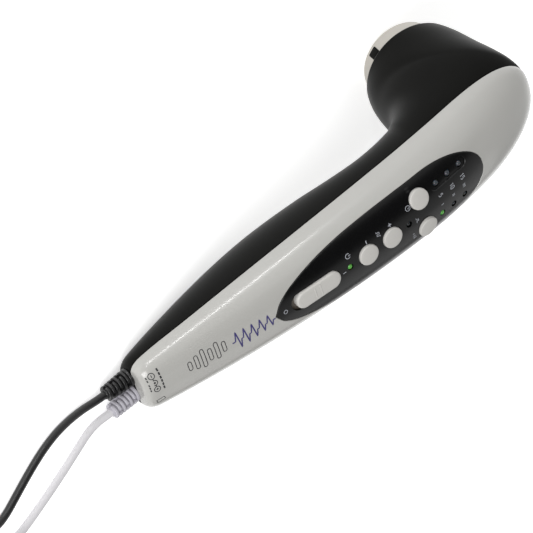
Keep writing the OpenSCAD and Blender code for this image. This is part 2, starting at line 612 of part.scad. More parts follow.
// Barrel plug: tapered boot, grip with a few rings, then a hollow contact
plug_grip_r = 5.2;
plug_boot = 9;
plug_grip = 16;
barrel_r = 2.75;
barrel_bore_r = 1.25;
barrel_len = 9.5;
module power_plug() color(black) at_end(power_end_route, -90) rotate_extrude($fn = round_fn)
    polygon(concat([[0, -0.5], [2.4, -0.5], [3.6, plug_boot - 1], [plug_grip_r - 0.5, plug_boot]],
        [for (i = [0 : 3]) let (z = plug_boot + 3 + 2.4 * i)
            each [[plug_grip_r, z - 2], [plug_grip_r, z], [plug_grip_r - 0.4, z + 0.2], [plug_grip_r - 0.4, z + 0.6]]],
        [[plug_grip_r, plug_boot + 11], [plug_grip_r, plug_boot + plug_grip - 0.6],
            [plug_grip_r - 0.6, plug_boot + plug_grip], [0, plug_boot + plug_grip]]));
module power_plug_barrel() color(steel) at_end(power_end_route, -90)
    translate([0, 0, plug_boot + plug_grip]) difference() {
        cylinder(r = barrel_r, h = barrel_len, $fn = round_fn);
        translate([0, 0, 1]) cylinder(r = barrel_bore_r, h = barrel_len, $fn = round_fn);
    }

// Pin plug for an electrode pad: tapered body, then a solid pin
pin_body_r = 3.4;
pin_body_len = 24;
pin_r = 1;
pin_len = 10;
module electrode_plug() color(white) at_end(electrode_end_route, 0) rotate_extrude($fn = round_fn)
    polygon([[0, -0.5], [2.3, -0.5], [2.6, 6], [pin_body_r, 9], [pin_body_r, pin_body_len - 1],
        [pin_body_r - 0.5, pin_body_len], [0, pin_body_len]]);
module electrode_pin() color(steel) at_end(electrode_end_route, 0) translate([0, 0, pin_body_len])
    cylinder(r = pin_r, h = pin_len, $fn = round_fn);

// --- the hand piece as it rests, and everything drawn ---
rest_x = 103.137;
rest_z = 11.599;
module rest() translate([-rest_x, 0, rest_z]) rotate([0, -rest_tilt, 0]) children();

rest() top_cover();
rest() lower_casing();
rest() control_panel();
rest() power_slider();
rest() slider_lever();
rest() minus_button();
rest() plus_button();
rest() time_button();
rest() mode_button();
rest() power_light();
rest() output_light();
rest() time_lights();
rest() level_lights();
rest() level_light_on();
rest() main_board();
rest() slide_switch();
rest() button_switches();
rest() control_chip();
rest() transformer();
rest() output_coil();
rest() capacitors();
rest() board_screws();
rest() casing_screws();
rest() applicator_cap();
rest() cap_insert();
rest() insulating_ring();
rest() seal_ring();
rest() piezo_disc();
rest() transducer_holder();
rest() contact_spring();
rest() transducer_wires();
rest() supply_wires();
rest() power_strain_relief();
rest() electrode_strain_relief();
power_lead();
power_lead_coil();
power_lead_end();
power_lead_tie();
power_plug();
power_plug_barrel();
electrode_lead();
electrode_lead_coil();
electrode_lead_end();
electrode_lead_tie();
electrode_plug();
electrode_pin();
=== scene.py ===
"""Looks of a handheld nerve stimulator and ultrasound applicator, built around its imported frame.

The hand piece has its own frame in millimetres: X runs from its tail to its head, Z comes out of its
face, and +Y is the side that faces the camera. world() turns such points into the frame's metres.
"""
import math

import bmesh
import bpy
import numpy as np
from mathutils import Matrix, Vector

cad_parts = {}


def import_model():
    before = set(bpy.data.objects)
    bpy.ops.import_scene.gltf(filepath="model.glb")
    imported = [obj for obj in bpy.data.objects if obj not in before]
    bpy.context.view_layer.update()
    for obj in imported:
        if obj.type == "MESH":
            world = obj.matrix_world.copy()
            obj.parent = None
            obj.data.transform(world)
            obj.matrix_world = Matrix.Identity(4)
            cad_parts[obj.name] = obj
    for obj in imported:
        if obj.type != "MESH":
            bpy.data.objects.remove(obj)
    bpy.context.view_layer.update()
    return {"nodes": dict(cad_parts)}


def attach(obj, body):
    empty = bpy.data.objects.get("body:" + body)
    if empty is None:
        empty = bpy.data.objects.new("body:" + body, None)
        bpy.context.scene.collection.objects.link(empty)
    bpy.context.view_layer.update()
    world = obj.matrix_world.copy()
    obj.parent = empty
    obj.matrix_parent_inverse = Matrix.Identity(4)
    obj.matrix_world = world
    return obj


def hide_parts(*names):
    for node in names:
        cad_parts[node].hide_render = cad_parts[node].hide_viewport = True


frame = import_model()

MM = 0.001
BODY = "hand_piece"


def cosd(a):
    return math.cos(math.radians(a))


def sind(a):
    return math.sin(math.radians(a))


# --- driving dimensions, in millimetres, as the design has them ---
BODY_LEN = 219.8
WALL = 2.2
GAP = 0.1
REST_TILT = math.radians(16.72)
REST_AT = (-103.137, 0.0, 11.599)
RIM_R = 22.6
CAP_R = 17.7
CAP_OUT = 10.9
HEAD_LEAN = 7.3
BUTTON_D = 9.3
SLIDER_LEN = 22.6
SLIDER_W = 8.2
SLIDER_TRAVEL = 2.0
SLIDER_LIP = 1.1
FLANGE_LEN = SLIDER_LEN + 2 * SLIDER_TRAVEL + 1
LEAD_D = 3.5

TAIL_X = -1.0
NOSE_X = 172.0
NOSE_W = 21.0
NOSE_POWER = 2.45
TIP_Z = -7.9
DOME_X = 138.0
DOME_Z = 19.8
DOME_POWER = 1.7
RIM_C = np.array([194.0, 0.0, -52.97])
PIVOT_REACH = 38.0
LEAN = math.radians(HEAD_LEAN)
PIVOT = RIM_C - PIVOT_REACH * np.array([math.cos(LEAN), 0.0, math.sin(LEAN)])
NECK_Z = -23.0
TIP_ANGLE = math.degrees(math.atan2(TIP_Z - PIVOT[2], BODY_LEN - PIVOT[0]))

# Stations [place, value] of the smooth curves that shape the hand piece
WIDTH_AT = [(TAIL_X, 9.5), (1, 11.5), (5, 12.8), (30, 15.3), (60, 17.6), (90, 19.4), (120, 20.5),
            (150, 21), (NOSE_X, NOSE_W)]
CROWN_AT = [(TAIL_X, 5), (1, 7), (5, 8.2), (30, 12), (60, 15.8), (90, 18.3), (120, 19.6), (150, 19.9)]
PARTING_AT = [(TAIL_X, -0.8), (10, -0.6), (30, 0.6), (60, 1.6), (90, 2.2), (120, 2), (150, 0.8),
              (180, -2.1), (BODY_LEN, TIP_Z)]
BELLY_AT = [(TAIL_X, -11), (3, -13), (30, -19.6), (60, -24.7), (82, -26), (105, -24.4), (120, -21.9),
            (135, -20.1), (147, -20.9), (PIVOT[0], NECK_Z)]
FULLNESS_AT = [(TAIL_X, 2.5), (100, 2.4), (150, 2.3), (BODY_LEN, 2.1)]
NECK_AT = [(HEAD_LEAN, PIVOT_REACH - RIM_R), (25, 14.7), (43, 16), (58, 20), (70, 27.2), (80, 32),
           (90, NECK_Z - PIVOT[2])]
FRONT_AT = [(HEAD_LEAN, PIVOT_REACH + RIM_R), (25, 69),
            (TIP_ANGLE, math.hypot(BODY_LEN - PIVOT[0], TIP_Z - PIVOT[2]))]
BARREL_AT = [(HEAD_LEAN, RIM_R), (20, 22.9), (42, 23.4), (66, 22.4), (90, 21)]
HANDLE_POWER = 2.2

PANEL_TIP = 62.3
PANEL_END = 175.6
PANEL_AT = [(PANEL_TIP, 1), (66, 5), (73, 8.8), (85, 12.2), (99, 14.3), (115, 15.3), (130, 15.6),
            (145, 15.6)]
PANEL_ROUND_X = 145.0
PANEL_T = 1.2
SLIDER_AT = (83.7, 0.0)
BUTTONS_AT = {"minus": (110.2, 0.0), "plus": (123.0, 0.0), "time": (140.6, 7.8), "mode": (140.6, -7.8)}
POWER_LIGHT_AT = (100.7, 0.0)
OUTPUT_LIGHT_AT = (132.3, 0.0)
TIME_LIGHTS_AT = [(151.0, 8.0), (157.8, 8.0), (164.6, 7.8)]
LEVEL_LIGHTS_AT = [(149.4, -7.2), (156.0, -7.4), (162.6, -7.4)]
LIGHT_R = 1.3
FLANGE_Z = -PANEL_T - 0.6
EDGE_ROUND = 0.35


# --- curves and surfaces of the hand piece ---
def smooth(stations, x):
    """Value at x on the smooth curve through stations."""
    t = np.asarray(stations, float)
    x = np.asarray(x, float)
    last = len(t) - 1
    i = np.clip(np.searchsorted(t[:, 0], x, side="right") - 1, 0, last - 1)
    ahead, behind = np.minimum(np.arange(last + 1) + 1, last), np.maximum(np.arange(last + 1) - 1, 0)
    slope = (t[ahead, 1] - t[behind, 1]) / (t[ahead, 0] - t[behind, 0])
    h = t[i + 1, 0] - t[i, 0]
    u = np.clip((x - t[i, 0]) / h, 0, 1)
    return ((2 * u**3 - 3 * u**2 + 1) * t[i, 1] + (u**3 - 2 * u**2 + u) * h * slope[i]
            + (3 * u**2 - 2 * u**3) * t[i + 1, 1] + (u**3 - u**2) * h * slope[i + 1])


def power(v, n):
    return np.sign(v) * np.abs(v) ** n


def closing(u, n):
    """Falls from 1 to 0 as u goes from 0 to 1, round at the end."""
    return np.maximum(0, 1 - np.clip(u, 0, None) ** n) ** (1 / n)


def half_width(x):
    x = np.asarray(x, float)
    nose = NOSE_W * closing((x - NOSE_X) / (BODY_LEN - NOSE_X), NOSE_POWER)
    return np.where(x > NOSE_X, nose, smooth(WIDTH_AT, x))


def parting(x):
    return smooth(PARTING_AT, x)


def crown(x):
    x = np.asarray(x, float)
    low = parting(x)
    dome = low + (DOME_Z - low) * closing((x - DOME_X) / (BODY_LEN - DOME_X), DOME_POWER)
    return np.where(x > DOME_X, dome, smooth(CROWN_AT, x))


def face_z(x, y):
    """Height of the cover's face."""
    n = smooth(FULLNESS_AT, x)
    r = np.minimum(1, np.abs(y) / half_width(x))
    return parting(x) + (crown(x) - parting(x)) * np.maximum(0, 1 - r**n) ** (1 / n)


def face_level(p):
    """Zero on the cover's face and positive outside it, for rows of points."""
    x, y, z = p[..., 0], p[..., 1], p[..., 2]
    low = parting(x)
    n = smooth(FULLNESS_AT, x)
    wide = np.abs(y) / np.maximum(half_width(x), 0.05)
    high = np.maximum(z - low, 0) / np.maximum(crown(x) - low, 0.05)
    return wide**n + high**n - 1


def face_normals(p):
    """Unit normals of the cover's face at rows of points near it."""
    step = 0.02
    grad = np.stack([face_level(p + d) - face_level(p - d) for d in step * np.eye(3)], axis=-1)
    return grad / np.maximum(np.linalg.norm(grad, axis=-1, keepdims=True), 1e-9)


def world(p):
    """Points of the hand piece's frame, in millimetres, as the frame's metres."""
    p = np.asarray(p, float)
    c, s = math.cos(REST_TILT), math.sin(REST_TILT)
    turned = np.stack([p[..., 0] * c - p[..., 2] * s, p[..., 1], p[..., 0] * s + p[..., 2] * c], axis=-1)
    return (turned + np.array(REST_AT)) * MM


def hand(p):
    """The opposite of world()."""
    q = np.asarray(p, float) / MM - np.array(REST_AT)
    c, s = math.cos(REST_TILT), math.sin(REST_TILT)
    return np.stack([q[..., 0] * c + q[..., 2] * s, q[..., 1], -q[..., 0] * s + q[..., 2] * c], axis=-1)


def turn(a, axis):
    return Matrix.Rotation(math.radians(a), 4, axis)


REST = Matrix.Translation(Vector(REST_AT)) @ Matrix.Rotation(-REST_TILT, 4, "Y")


def on_face(at):
    """Matrix that stands a piece on the face over a point, square to the face."""
    x, y = at
    pitch = math.atan2(face_z(x + 2, 0) - face_z(x - 2, 0), 4)
    roll = math.atan2(face_z(x, y + 2) - face_z(x, y - 2), 4)
    tilt = Matrix.Rotation(-pitch, 4, "Y") @ Matrix.Rotation(roll, 4, "X")
    return REST @ Matrix.Translation((x, y, float(face_z(x, y)))) @ tilt


ON_RIM = REST @ Matrix.Translation(Vector(RIM_C)) @ turn(-HEAD_LEAN, "Y")


# --- meshes ---
def build(name, verts, faces, sharp=35):
    """A clean mesh object from points in metres, shaded smooth except over sharp edges."""
    mesh = bpy.data.meshes.new(name)
    mesh.from_pydata([tuple(v) for v in verts], [], faces)
    obj = bpy.data.objects.new(name, mesh)
    bpy.context.scene.collection.objects.link(obj)
    clean(obj, sharp)
    return obj


def clean(obj, sharp=35):
    bm = bmesh.new()
    bm.from_mesh(obj.data)
    bmesh.ops.remove_doubles(bm, verts=bm.verts, dist=2e-6)
    bmesh.ops.dissolve_degenerate(bm, edges=bm.edges, dist=1e-6)
    bmesh.ops.recalc_face_normals(bm, faces=bm.faces)
    bm.to_mesh(obj.data)
    bm.free()
    obj.data.shade_smooth()
    obj.data.set_sharp_from_angle(angle=math.radians(sharp))


def placed(points, matrix):
    """Millimetre points of a piece's own frame, placed by a matrix, in metres."""
    return [(matrix @ Vector(p)) * MM for p in points]


def rings_faces(count, n):
    """Faces of a skin over count rings of n points each, closed at both ends."""
    faces = [(i * n + j, i * n + (j + 1) % n, (i + 1) * n + (j + 1) % n, (i + 1) * n + j)
             for i in range(count - 1) for j in range(n)]
    return faces + [tuple(range(n))[::-1], tuple(range((count - 1) * n, count * n))]


ON_AXIS = 1e-6


def turned(name, profile, matrix, sides=64, arcs=None):
    """A closed profile of (radius, height) points turned about Z, whole or over arcs of (start, end)."""
    verts, faces = [], []
    m = len(profile)
    for start, end in arcs or [(0, 360)]:
        whole = end - start >= 360
        steps = sides if whole else max(3, round(sides * (end - start) / 360))
        base = len(verts)
        count = steps if whole else steps + 1
        for i in range(count):
            a = math.radians(start + (end - start) * i / steps)
            verts += placed([(r * math.cos(a), r * math.sin(a), z) for r, z in profile], matrix)
        for i in range(count if whole else count - 1):
            for j in range(m):
                k = (i + 1) % count
                if max(profile[j][0], profile[(j + 1) % m][0]) < ON_AXIS:
                    continue
                faces.append((base + i * m + j, base + k * m + j, base + k * m + (j + 1) % m,
                              base + i * m + (j + 1) % m))
        if not whole:
            faces += [tuple(base + j for j in range(m))[::-1],
                      tuple(base + (count - 1) * m + j for j in range(m))]
    return build(name, verts, faces)


def rounded(corners, radius, steps=5):
    """The corners of a closed profile, each one rounded by its own or a common radius."""
    out = []
    n = len(corners)
    for i, corner in enumerate(corners):
        p, a, b = (np.array(corners[k % n][:2], float) for k in (i, i - 1, i + 1))
        r = corner[2] if len(corner) > 2 else radius
        to_a, to_b = a - p, b - p
        la, lb = np.linalg.norm(to_a), np.linalg.norm(to_b)
        bend = math.acos(np.clip(np.dot(to_a, to_b) / (la * lb), -1, 1))
        if r <= 0 or bend > math.radians(176):
            out.append(tuple(p))
            continue
        reach = min(r / math.tan(bend / 2), 0.48 * la, 0.48 * lb)
        s, e = p + to_a / la * reach, p + to_b / lb * reach
        for k in range(steps + 1):
            u = k / steps
            out.append(tuple((1 - u) ** 2 * s + 2 * u * (1 - u) * p + u**2 * e))
    return out


def circle(r, n=64):
    return [(r * math.cos(2 * math.pi * i / n), r * math.sin(2 * math.pi * i / n)) for i in range(n)]


def rod(name, outline, matrix, low, high):
    """A straight bar with an outline's section."""
    pts = [(x, y, z) for z in (low, high) for x, y in outline]
    return build(name, placed(pts, matrix), rings_faces(2, len(outline)))


def stadium(length, width, n=72):
    """Outline of a bar with round ends, about the origin."""
    straight, r = (length - width) / 2, width / 2
    out = []
    for i in range(n):
        a = 2 * math.pi * (i + 0.5) / n
        out.append((math.copysign(straight, math.cos(a)) + r * math.cos(a), r * math.sin(a)))
    return out


def grown(outline, by):
    """A closed outline moved outwards along its normals."""
    p = np.asarray(outline, float)
    along = np.roll(p, -1, axis=0) - np.roll(p, 1, axis=0)
    along /= np.linalg.norm(along, axis=1, keepdims=True)
    return p + by * np.stack([along[:, 1], -along[:, 0]], axis=1)


def conforming(name, outline, levels, rings=10):
    """A slab that follows the face. Levels are (growth of the outline, depth under the face) from top to
    bottom."""
    base = np.asarray(outline, float)
    n = len(base)
    centre = base.mean(axis=0)
    shares = [(k / rings, *levels[0]) for k in range(1, rings)] + [(1, *level) for level in levels]
    shares += [(k / rings, *levels[-1]) for k in range(rings - 1, 0, -1)]
    loops = [(centre + (grown(base, g) - centre) * share, d) for share, g, d in shares]
    pts = []
    for loop, depth in [(centre[None, :], levels[0][1]), *loops, (centre[None, :], levels[-1][1])]:
        pts.append(np.stack([loop[:, 0], loop[:, 1], face_z(loop[:, 0], loop[:, 1]) - depth], axis=-1))
    last = 1 + n * len(loops)
    faces = [(0, 1 + (j + 1) % n, 1 + j) for j in range(n)]
    for i in range(len(loops) - 1):
        a, b = 1 + i * n, 1 + (i + 1) * n
        faces += [(a + j, a + (j + 1) % n, b + (j + 1) % n, b + j) for j in range(n)]
    a = 1 + (len(loops) - 1) * n
    faces += [(last, a + j, a + (j + 1) % n) for j in range(n)]
    return build(name, world(np.concatenate(pts)), faces)


def combine(obj, others, operation):
    """Cuts others from obj, or joins them to it, and removes them."""
    for other in others:
        mod = obj.modifiers.new("combine", "BOOLEAN")
        mod.operation, mod.object, mod.solver = operation, other, "EXACT"
    made = bpy.data.meshes.new_from_object(obj.evaluated_get(bpy.context.evaluated_depsgraph_get()))
    obj.modifiers.clear()
    obj.data = made
    for other in others:
        bpy.data.objects.remove(other)
    clean(obj)
    return obj


def shade_by_face(obj):
    """Gives the parts of a mesh that lie on the cover's face the face's own normals."""
    mesh = obj.data
    at = np.empty(len(mesh.vertices) * 3)
    mesh.vertices.foreach_get("co", at)
    at = hand(at.reshape(-1, 3))
    normals = face_normals(at)
    near = np.abs(at[:, 2] - face_z(at[:, 0], at[:, 1])) < 0.03
    near |= np.abs(face_level(at)) < 0.006
    back = world(at + normals) - world(at)
    back /= np.linalg.norm(back, axis=1, keepdims=True)
    custom = np.zeros((len(mesh.loops), 3))
    for poly in mesh.polygons:
        idx = [mesh.loops[k].vertex_index for k in poly.loop_indices]
        if near[idx].all() and (back[idx] @ np.array(poly.normal)).min() > 0.8:
            custom[poly.loop_indices[0]:poly.loop_indices[0] + len(idx)] = back[idx]
    mesh.normals_split_custom_set([tuple(v) for v in custom])


def finish_piece(obj, look, *nodes, slot=None, body=BODY):
    """Gives a piece its material and body, and hides the frame's nodes that it replaces. The slot argument,
    which mostly has the material's name, is not used.
    """
    obj.data.materials.clear()
    obj.data.materials.append(looks[look])
    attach(obj, body)
    if nodes:
        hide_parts(*nodes)
    return obj


# --- camera: a very long lens, at the angle of a look down on the lying hand piece from its tail ---
VIEW_RIGHT = Vector((0.5435, -0.2470, 0.8022)).normalized()
VIEW_BACK = VIEW_RIGHT.cross(Vector((0.6593, 0.7170, -0.2265))).normalized()
VIEW_UP = VIEW_BACK.cross(VIEW_RIGHT)
VIEW_CENTRE = Vector((-0.0419, 0.0226, 0.0425))
VIEW_WIDTH = 0.21934
VIEW_HALF_ANGLE = math.radians(0.8)


def make_camera():
    data = bpy.data.cameras.new("camera")
    data.sensor_width = 36
    data.lens = data.sensor_width / 2 / math.tan(VIEW_HALF_ANGLE)
    distance = VIEW_WIDTH / 2 / math.tan(VIEW_HALF_ANGLE)
    data.clip_start, data.clip_end = 0.1, 60
    camera = bpy.data.objects.new("camera", data)
    axes = Matrix((VIEW_RIGHT, VIEW_UP, VIEW_BACK)).transposed()
    camera.matrix_world = Matrix.Translation(VIEW_CENTRE + VIEW_BACK * distance) @ axes.to_4x4()
    bpy.context.scene.collection.objects.link(camera)
    bpy.context.scene.camera = camera


# --- materials ---
def feed(tree, node, inputs):
    """Sets a node's inputs to values, or links them to other nodes' outputs."""
    for name, value in inputs.items():
        if isinstance(value, bpy.types.NodeSocket):
            tree.links.new(value, node.inputs[name])
        else:
            node.inputs[name].default_value = value


def add(tree, kind, output, **inputs):
    """A new node's output. An input's name has _ in place of a space."""
    node = tree.nodes.new("ShaderNode" + kind)
    feed(tree, node, {name.replace("_", " "): value for name, value in inputs.items()})
    return node.outputs[output]


def nodes_of(name):
    mat = bpy.data.materials.new(name)
    mat.use_nodes = True
    tree = mat.node_tree
    return mat, tree, tree.nodes["Principled BSDF"], add(tree, "TexCoord", "Object")


def noise(tree, where, scale, detail=3.0):
    """Noise whose grains are scale times smaller than a metre."""
    return add(tree, "TexNoise", "Fac", Vector=where, Scale=scale, Detail=detail)


def ranged(tree, value, from_low, from_high, to_low, to_high):
    return add(tree, "MapRange", "Result", Value=value, From_Min=from_low, From_Max=from_high, To_Min=to_low,
               To_Max=to_high)


def spread(tree, value, middle, swing):
    """Maps the middle of a noise to a range about a value."""
    return ranged(tree, value, 0.3, 0.7, middle - swing, middle + swing)


def tinted(tree, value, color, shift):
    """A colour that a noise makes a little darker and lighter."""
    mix = tree.nodes.new("ShaderNodeMix")
    mix.data_type = "RGBA"
    feed(tree, mix, {"A": (*[c * (1 - shift) for c in color], 1),
                     "B": (*[min(1, c * (1 + shift)) for c in color], 1), "Factor": value})
    return mix.outputs["Result"]


def bumped(tree, shader, height, strength, distance):
    feed(tree, shader, {"Normal": add(tree, "Bump", "Normal", Strength=strength, Distance=distance,
                                      Height=height)})


def plastic(name, color, rough, grain=2600, depth=0.0, shift=0.03, swing=0.04, coat=0.0, metal=0.0,
            shine=0.5):
    """Moulded plastic, rubber, paint or metal: mottled colour, uneven gloss and a fine grain."""
    mat, tree, shader, where = nodes_of(name)
    fine = noise(tree, where, grain, 2)
    feed(tree, shader, {"Base Color": tinted(tree, noise(tree, where, 60), color, shift),
                        "Roughness": spread(tree, fine, rough, swing), "Metallic": metal,
                        "Specular IOR Level": shine, "Coat Weight": coat, "Coat Roughness": 0.08})
    if depth:
        bumped(tree, shader, fine, 0.5, depth * MM)
    return mat


def ringed_metal(name, color, rough, pitch, matrix):
    """Metal turned on a lathe: fine rings about a piece's own axis."""
    mat, tree, shader, where = nodes_of(name)
    to_axis = Matrix.Scale(MM, 4) @ matrix.inverted() @ Matrix.Scale(1 / MM, 4)
    spun = add(tree, "Mapping", "Vector", Vector=where, Location=to_axis.to_translation(),
               Rotation=to_axis.to_euler())
    x, y, z = (add(tree, "SeparateXYZ", axis, Vector=spun) for axis in "XYZ")
    length = tree.nodes.new("ShaderNodeVectorMath")
    length.operation = "LENGTH"
    tree.links.new(add(tree, "CombineXYZ", "Vector", X=x, Y=y), length.inputs[0])
    ring = add(tree, "CombineXYZ", "Vector", X=length.outputs["Value"], Z=z)
    smear = noise(tree, where, 90)
    feed(tree, shader, {"Base Color": tinted(tree, smear, color, 0.05),
                        "Roughness": spread(tree, smear, rough, 0.05), "Metallic": 1})
    bumped(tree, shader, noise(tree, ring, 1 / (pitch * MM), 4), 0.25, 0.02 * MM)
    return mat


def lens(name, color, glow):
    """A small diffusing lens of a light, which glows when it is lit."""
    mat, tree, shader, where = nodes_of(name)
    cloudy = noise(tree, where, 900)
    tint = tinted(tree, cloudy, color, 0.08)
    feed(tree, shader, {"Base Color": tint, "Emission Color": tint, "Emission Strength": glow,
                        "Roughness": spread(tree, cloudy, 0.18, 0.03), "Subsurface Weight": 0.3,
                        "Subsurface Scale": MM})
    return mat


# Plain plastics, rubbers, paints and metals: a name, a colour, a roughness, and plastic()'s other values
PLASTICS = {
    "white_shell": ("white_gloss_shell", (0.362, 0.358, 0.342), 0.2,
                    dict(grain=700, depth=0.003, shift=0.012, swing=0.02, coat=0.3)),
    "black_shell": ("black_satin_shell", (0.0026, 0.0026, 0.0022), 0.36,
                    dict(grain=3800, depth=0.012, shift=0.12, shine=0.06)),
    "panel": ("panel_gloss_black", (0.0028, 0.0028, 0.003), 0.22,
              dict(grain=500, depth=0.002, shift=0.1, swing=0.02, shine=0.36)),
    "button_white": ("button_plastic", (0.45, 0.44, 0.42), 0.42, dict(grain=2400, depth=0.006, shift=0.015)),
    "flange_brown": ("slider_flange_dark", (0.075, 0.062, 0.05), 0.45, dict(grain=2400, depth=0.006)),
    "steel": ("bright_steel", (0.62, 0.62, 0.60), 0.25, dict(grain=1800, depth=0.002, metal=1.0)),
    "board_green": ("circuit_board", (0.02, 0.12, 0.05), 0.45, dict(grain=1200, depth=0.02, shift=0.2)),
    "switch_steel": ("switch_plate", (0.55, 0.55, 0.54), 0.4, dict(grain=1500, depth=0.004, metal=1.0)),
    "switch_black": ("switch_body", (0.03, 0.03, 0.033), 0.5, dict(depth=0.01)),
    "chip_black": ("chip_body", (0.02, 0.02, 0.022), 0.6, dict(depth=0.02)),
    "ferrite": ("ferrite_core", (0.09, 0.08, 0.07), 0.7, dict(grain=1800, depth=0.04, shift=0.15)),
    "copper": ("copper_winding", (0.55, 0.25, 0.1), 0.3, dict(grain=3000, depth=0.05, metal=1.0)),
    "capacitor": ("capacitor_sleeve", (0.04, 0.06, 0.16), 0.35, dict(depth=0.006)),
    "seal_rubber": ("seal_rubber", (0.02, 0.02, 0.022), 0.6, dict(depth=0.02)),
    "ceramic": ("piezo_ceramic", (0.6, 0.57, 0.47), 0.55, dict(depth=0.02)),
    "holder_white": ("holder_plastic", (0.65, 0.65, 0.6), 0.5, dict(depth=0.01)),
    "wire_red": ("wire_red", (0.35, 0.03, 0.02), 0.4, dict(depth=0.006)),
    "wire_blue": ("wire_blue", (0.03, 0.06, 0.3), 0.4, dict(depth=0.006)),
    "black_cord": ("black_cord_sheath", (0.008, 0.008, 0.0085), 0.3,
                   dict(grain=2400, depth=0.012, shift=0.1)),
    "white_cord": ("pale_cord_sheath", (0.60, 0.59, 0.61), 0.42, dict(grain=2400, depth=0.01, shift=0.02)),
    "grey_relief": ("violet_grey_relief", (0.40, 0.39, 0.43), 0.45, dict(grain=2200, depth=0.01)),
    "tie_black": ("tie_webbing", (0.014, 0.014, 0.015), 0.75, dict(grain=5200, depth=0.08, shift=0.2)),
    "ink_black": ("ink_black", (0.012, 0.012, 0.015), 0.5, dict(grain=4000)),
    "ink_indigo": ("ink_indigo", (0.035, 0.03, 0.13), 0.5, dict(grain=4000)),
    "ink_grey": ("ink_pale_grey", (0.30, 0.31, 0.34), 0.6, dict(grain=4000, shift=0.1)),
}


def make_materials():
    m = {key: plastic(name, color, rough, **more) for key, (name, color, rough, more) in PLASTICS.items()}
    m["light_green"] = lens("lens_green", (0.07, 0.27, 0.045), 0.22)
    m["light_dark"] = lens("lens_unlit", (0.02, 0.021, 0.024), 0.0)
    m["light_grey"] = lens("lens_blue_grey", (0.03, 0.035, 0.044), 0.0)
    m["cap_metal"] = ringed_metal("turned_cap_metal", (0.46, 0.44, 0.405), 0.34, 0.16, ON_RIM)
    return m


# --- leads ---
POWER_ROUTE = [
    (-114, 5, 4.8), (-117.5, 5.2, 4), (-122, 5.8, 3), (-128, 7.2, 2.1), (-136, 9, 1.8), (-144, 10.1, 1.75),
    (-151, 10.2, 1.75), (-158, 9.5, 1.75), (-165, 8.1, 1.75), (-172, 6.3, 1.75), (-179, 4.3, 1.75),
    (-186, 2.3, 1.75), (-192, 1.6, 1.75), (-199, 2.6, 1.75), (-207, 4.8, 1.75), (-216, 6.8, 1.75),
    (-226, 8.2, 1.75), (-236, 9.4, 1.8), (-246, 10.8, 2.1), (-254, 12.2, 2.4), (-261, 13.3, 2.55)]
POWER_END_ROUTE = [
    (-247, -2.5, 13.05), (-250.5, 2.5, 13.8), (-255.5, 6, 15.2), (-261.5, 7, 16.8), (-267.5, 5, 18.3),
    (-272, 1, 19.4), (-274.3, -3.5, 19.9), (-274.5, -8, 20)]
ELECTRODE_ROUTE = [
    (-114, -5, 4.8), (-117.5, -5, 4), (-122, -4.6, 3), (-126, -4.6, 2.3), (-131, -5.2, 1.85),
    (-139, -6.8, 1.75), (-149, -8.6, 1.75), (-160, -10.3, 1.75), (-171, -11.6, 1.75), (-177, -12.2, 1.75),
    (-182, -12.5, 1.75), (-188, -11.9, 1.9), (-194, -9.5, 2.3), (-201, -4, 2.55)]
ELECTRODE_END_ROUTE = [
    (-230.5, -14, 9.6), (-232.5, -22, 10.3), (-232, -26, 11.2), (-229, -30.5, 12.4), (-224.5, -33.2, 13.6),
    (-220.5, -34, 14.3), (-216, -34, 14.7)]
POWER_COIL = dict(at=(-265, -9), r=19.15, start=80, turns=10.83)
ELECTRODE_COIL = dict(at=(-216, -22), r=20, start=50, turns=8.28)
COIL_WIDE = 3
COIL_BASE = 0.8
TURN_POINTS = 48


def through(route, steps):
    """Smooth curve through a route's points."""
    p = np.asarray(route, float)
    out = []
    for i in range(len(p) - 1):
        a, b, c, d = p[max(i - 1, 0)], p[i], p[i + 1], p[min(i + 2, len(p) - 1)]
        for k in range(steps):
            u = k / steps
            out.append(0.5 * (2 * b + (c - a) * u + (2 * a - 5 * b + 4 * c - d) * u**2
                              + (3 * b - a - 3 * c + d) * u**3))
    return out + [p[-1]]


def coil_slot(k, r):
    """Radius and height of turn k's slot: each layer is wound back over the one below."""
    layer, place = divmod(k, COIL_WIDE)
    side = 1 - place if layer % 2 == 0 else place - 1
    return r + side * LEAD_D, COIL_BASE + LEAD_D * (layer + 0.5)


def winding(at, r, start, turns):
    """Points along a round coil. A turn moves to the next slot in its last sixth."""
    out = []
    steps = round(turns * TURN_POINTS)
    for i in range(1, steps):
        t = turns * i / steps
        k = int(t)
        u = max(0.0, (t - k) * 6 - 5)
        u = u * u * (3 - 2 * u)
        (r0, z0), (r1, z1) = coil_slot(k, r), coil_slot(k + 1, r)
        bulge = 0.5 * LEAD_D * math.sin(math.pi * u) * (1 if r0 > r else -1) * (z1 > z0)
        a = math.radians(start + 360 * t)
        rad = r0 + (r1 - r0) * u + bulge
        out.append(np.array([at[0] + rad * math.cos(a), at[1] + rad * math.sin(a), z0 + (z1 - z0) * u]))
    return out


def evenly(points, spacing):
    """Points a spacing apart along a line, softened a little."""
    p = np.asarray(points)
    for _ in range(3):
        p[1:-1] = 0.25 * p[:-2] + 0.5 * p[1:-1] + 0.25 * p[2:]
    s = np.concatenate([[0], np.cumsum(np.linalg.norm(np.diff(p, axis=0), axis=1))])
    at = np.linspace(0, s[-1], round(s[-1] / spacing))
    return np.stack([np.interp(at, s, p[:, i]) for i in range(3)], axis=1)


CORD_SIDES = 16


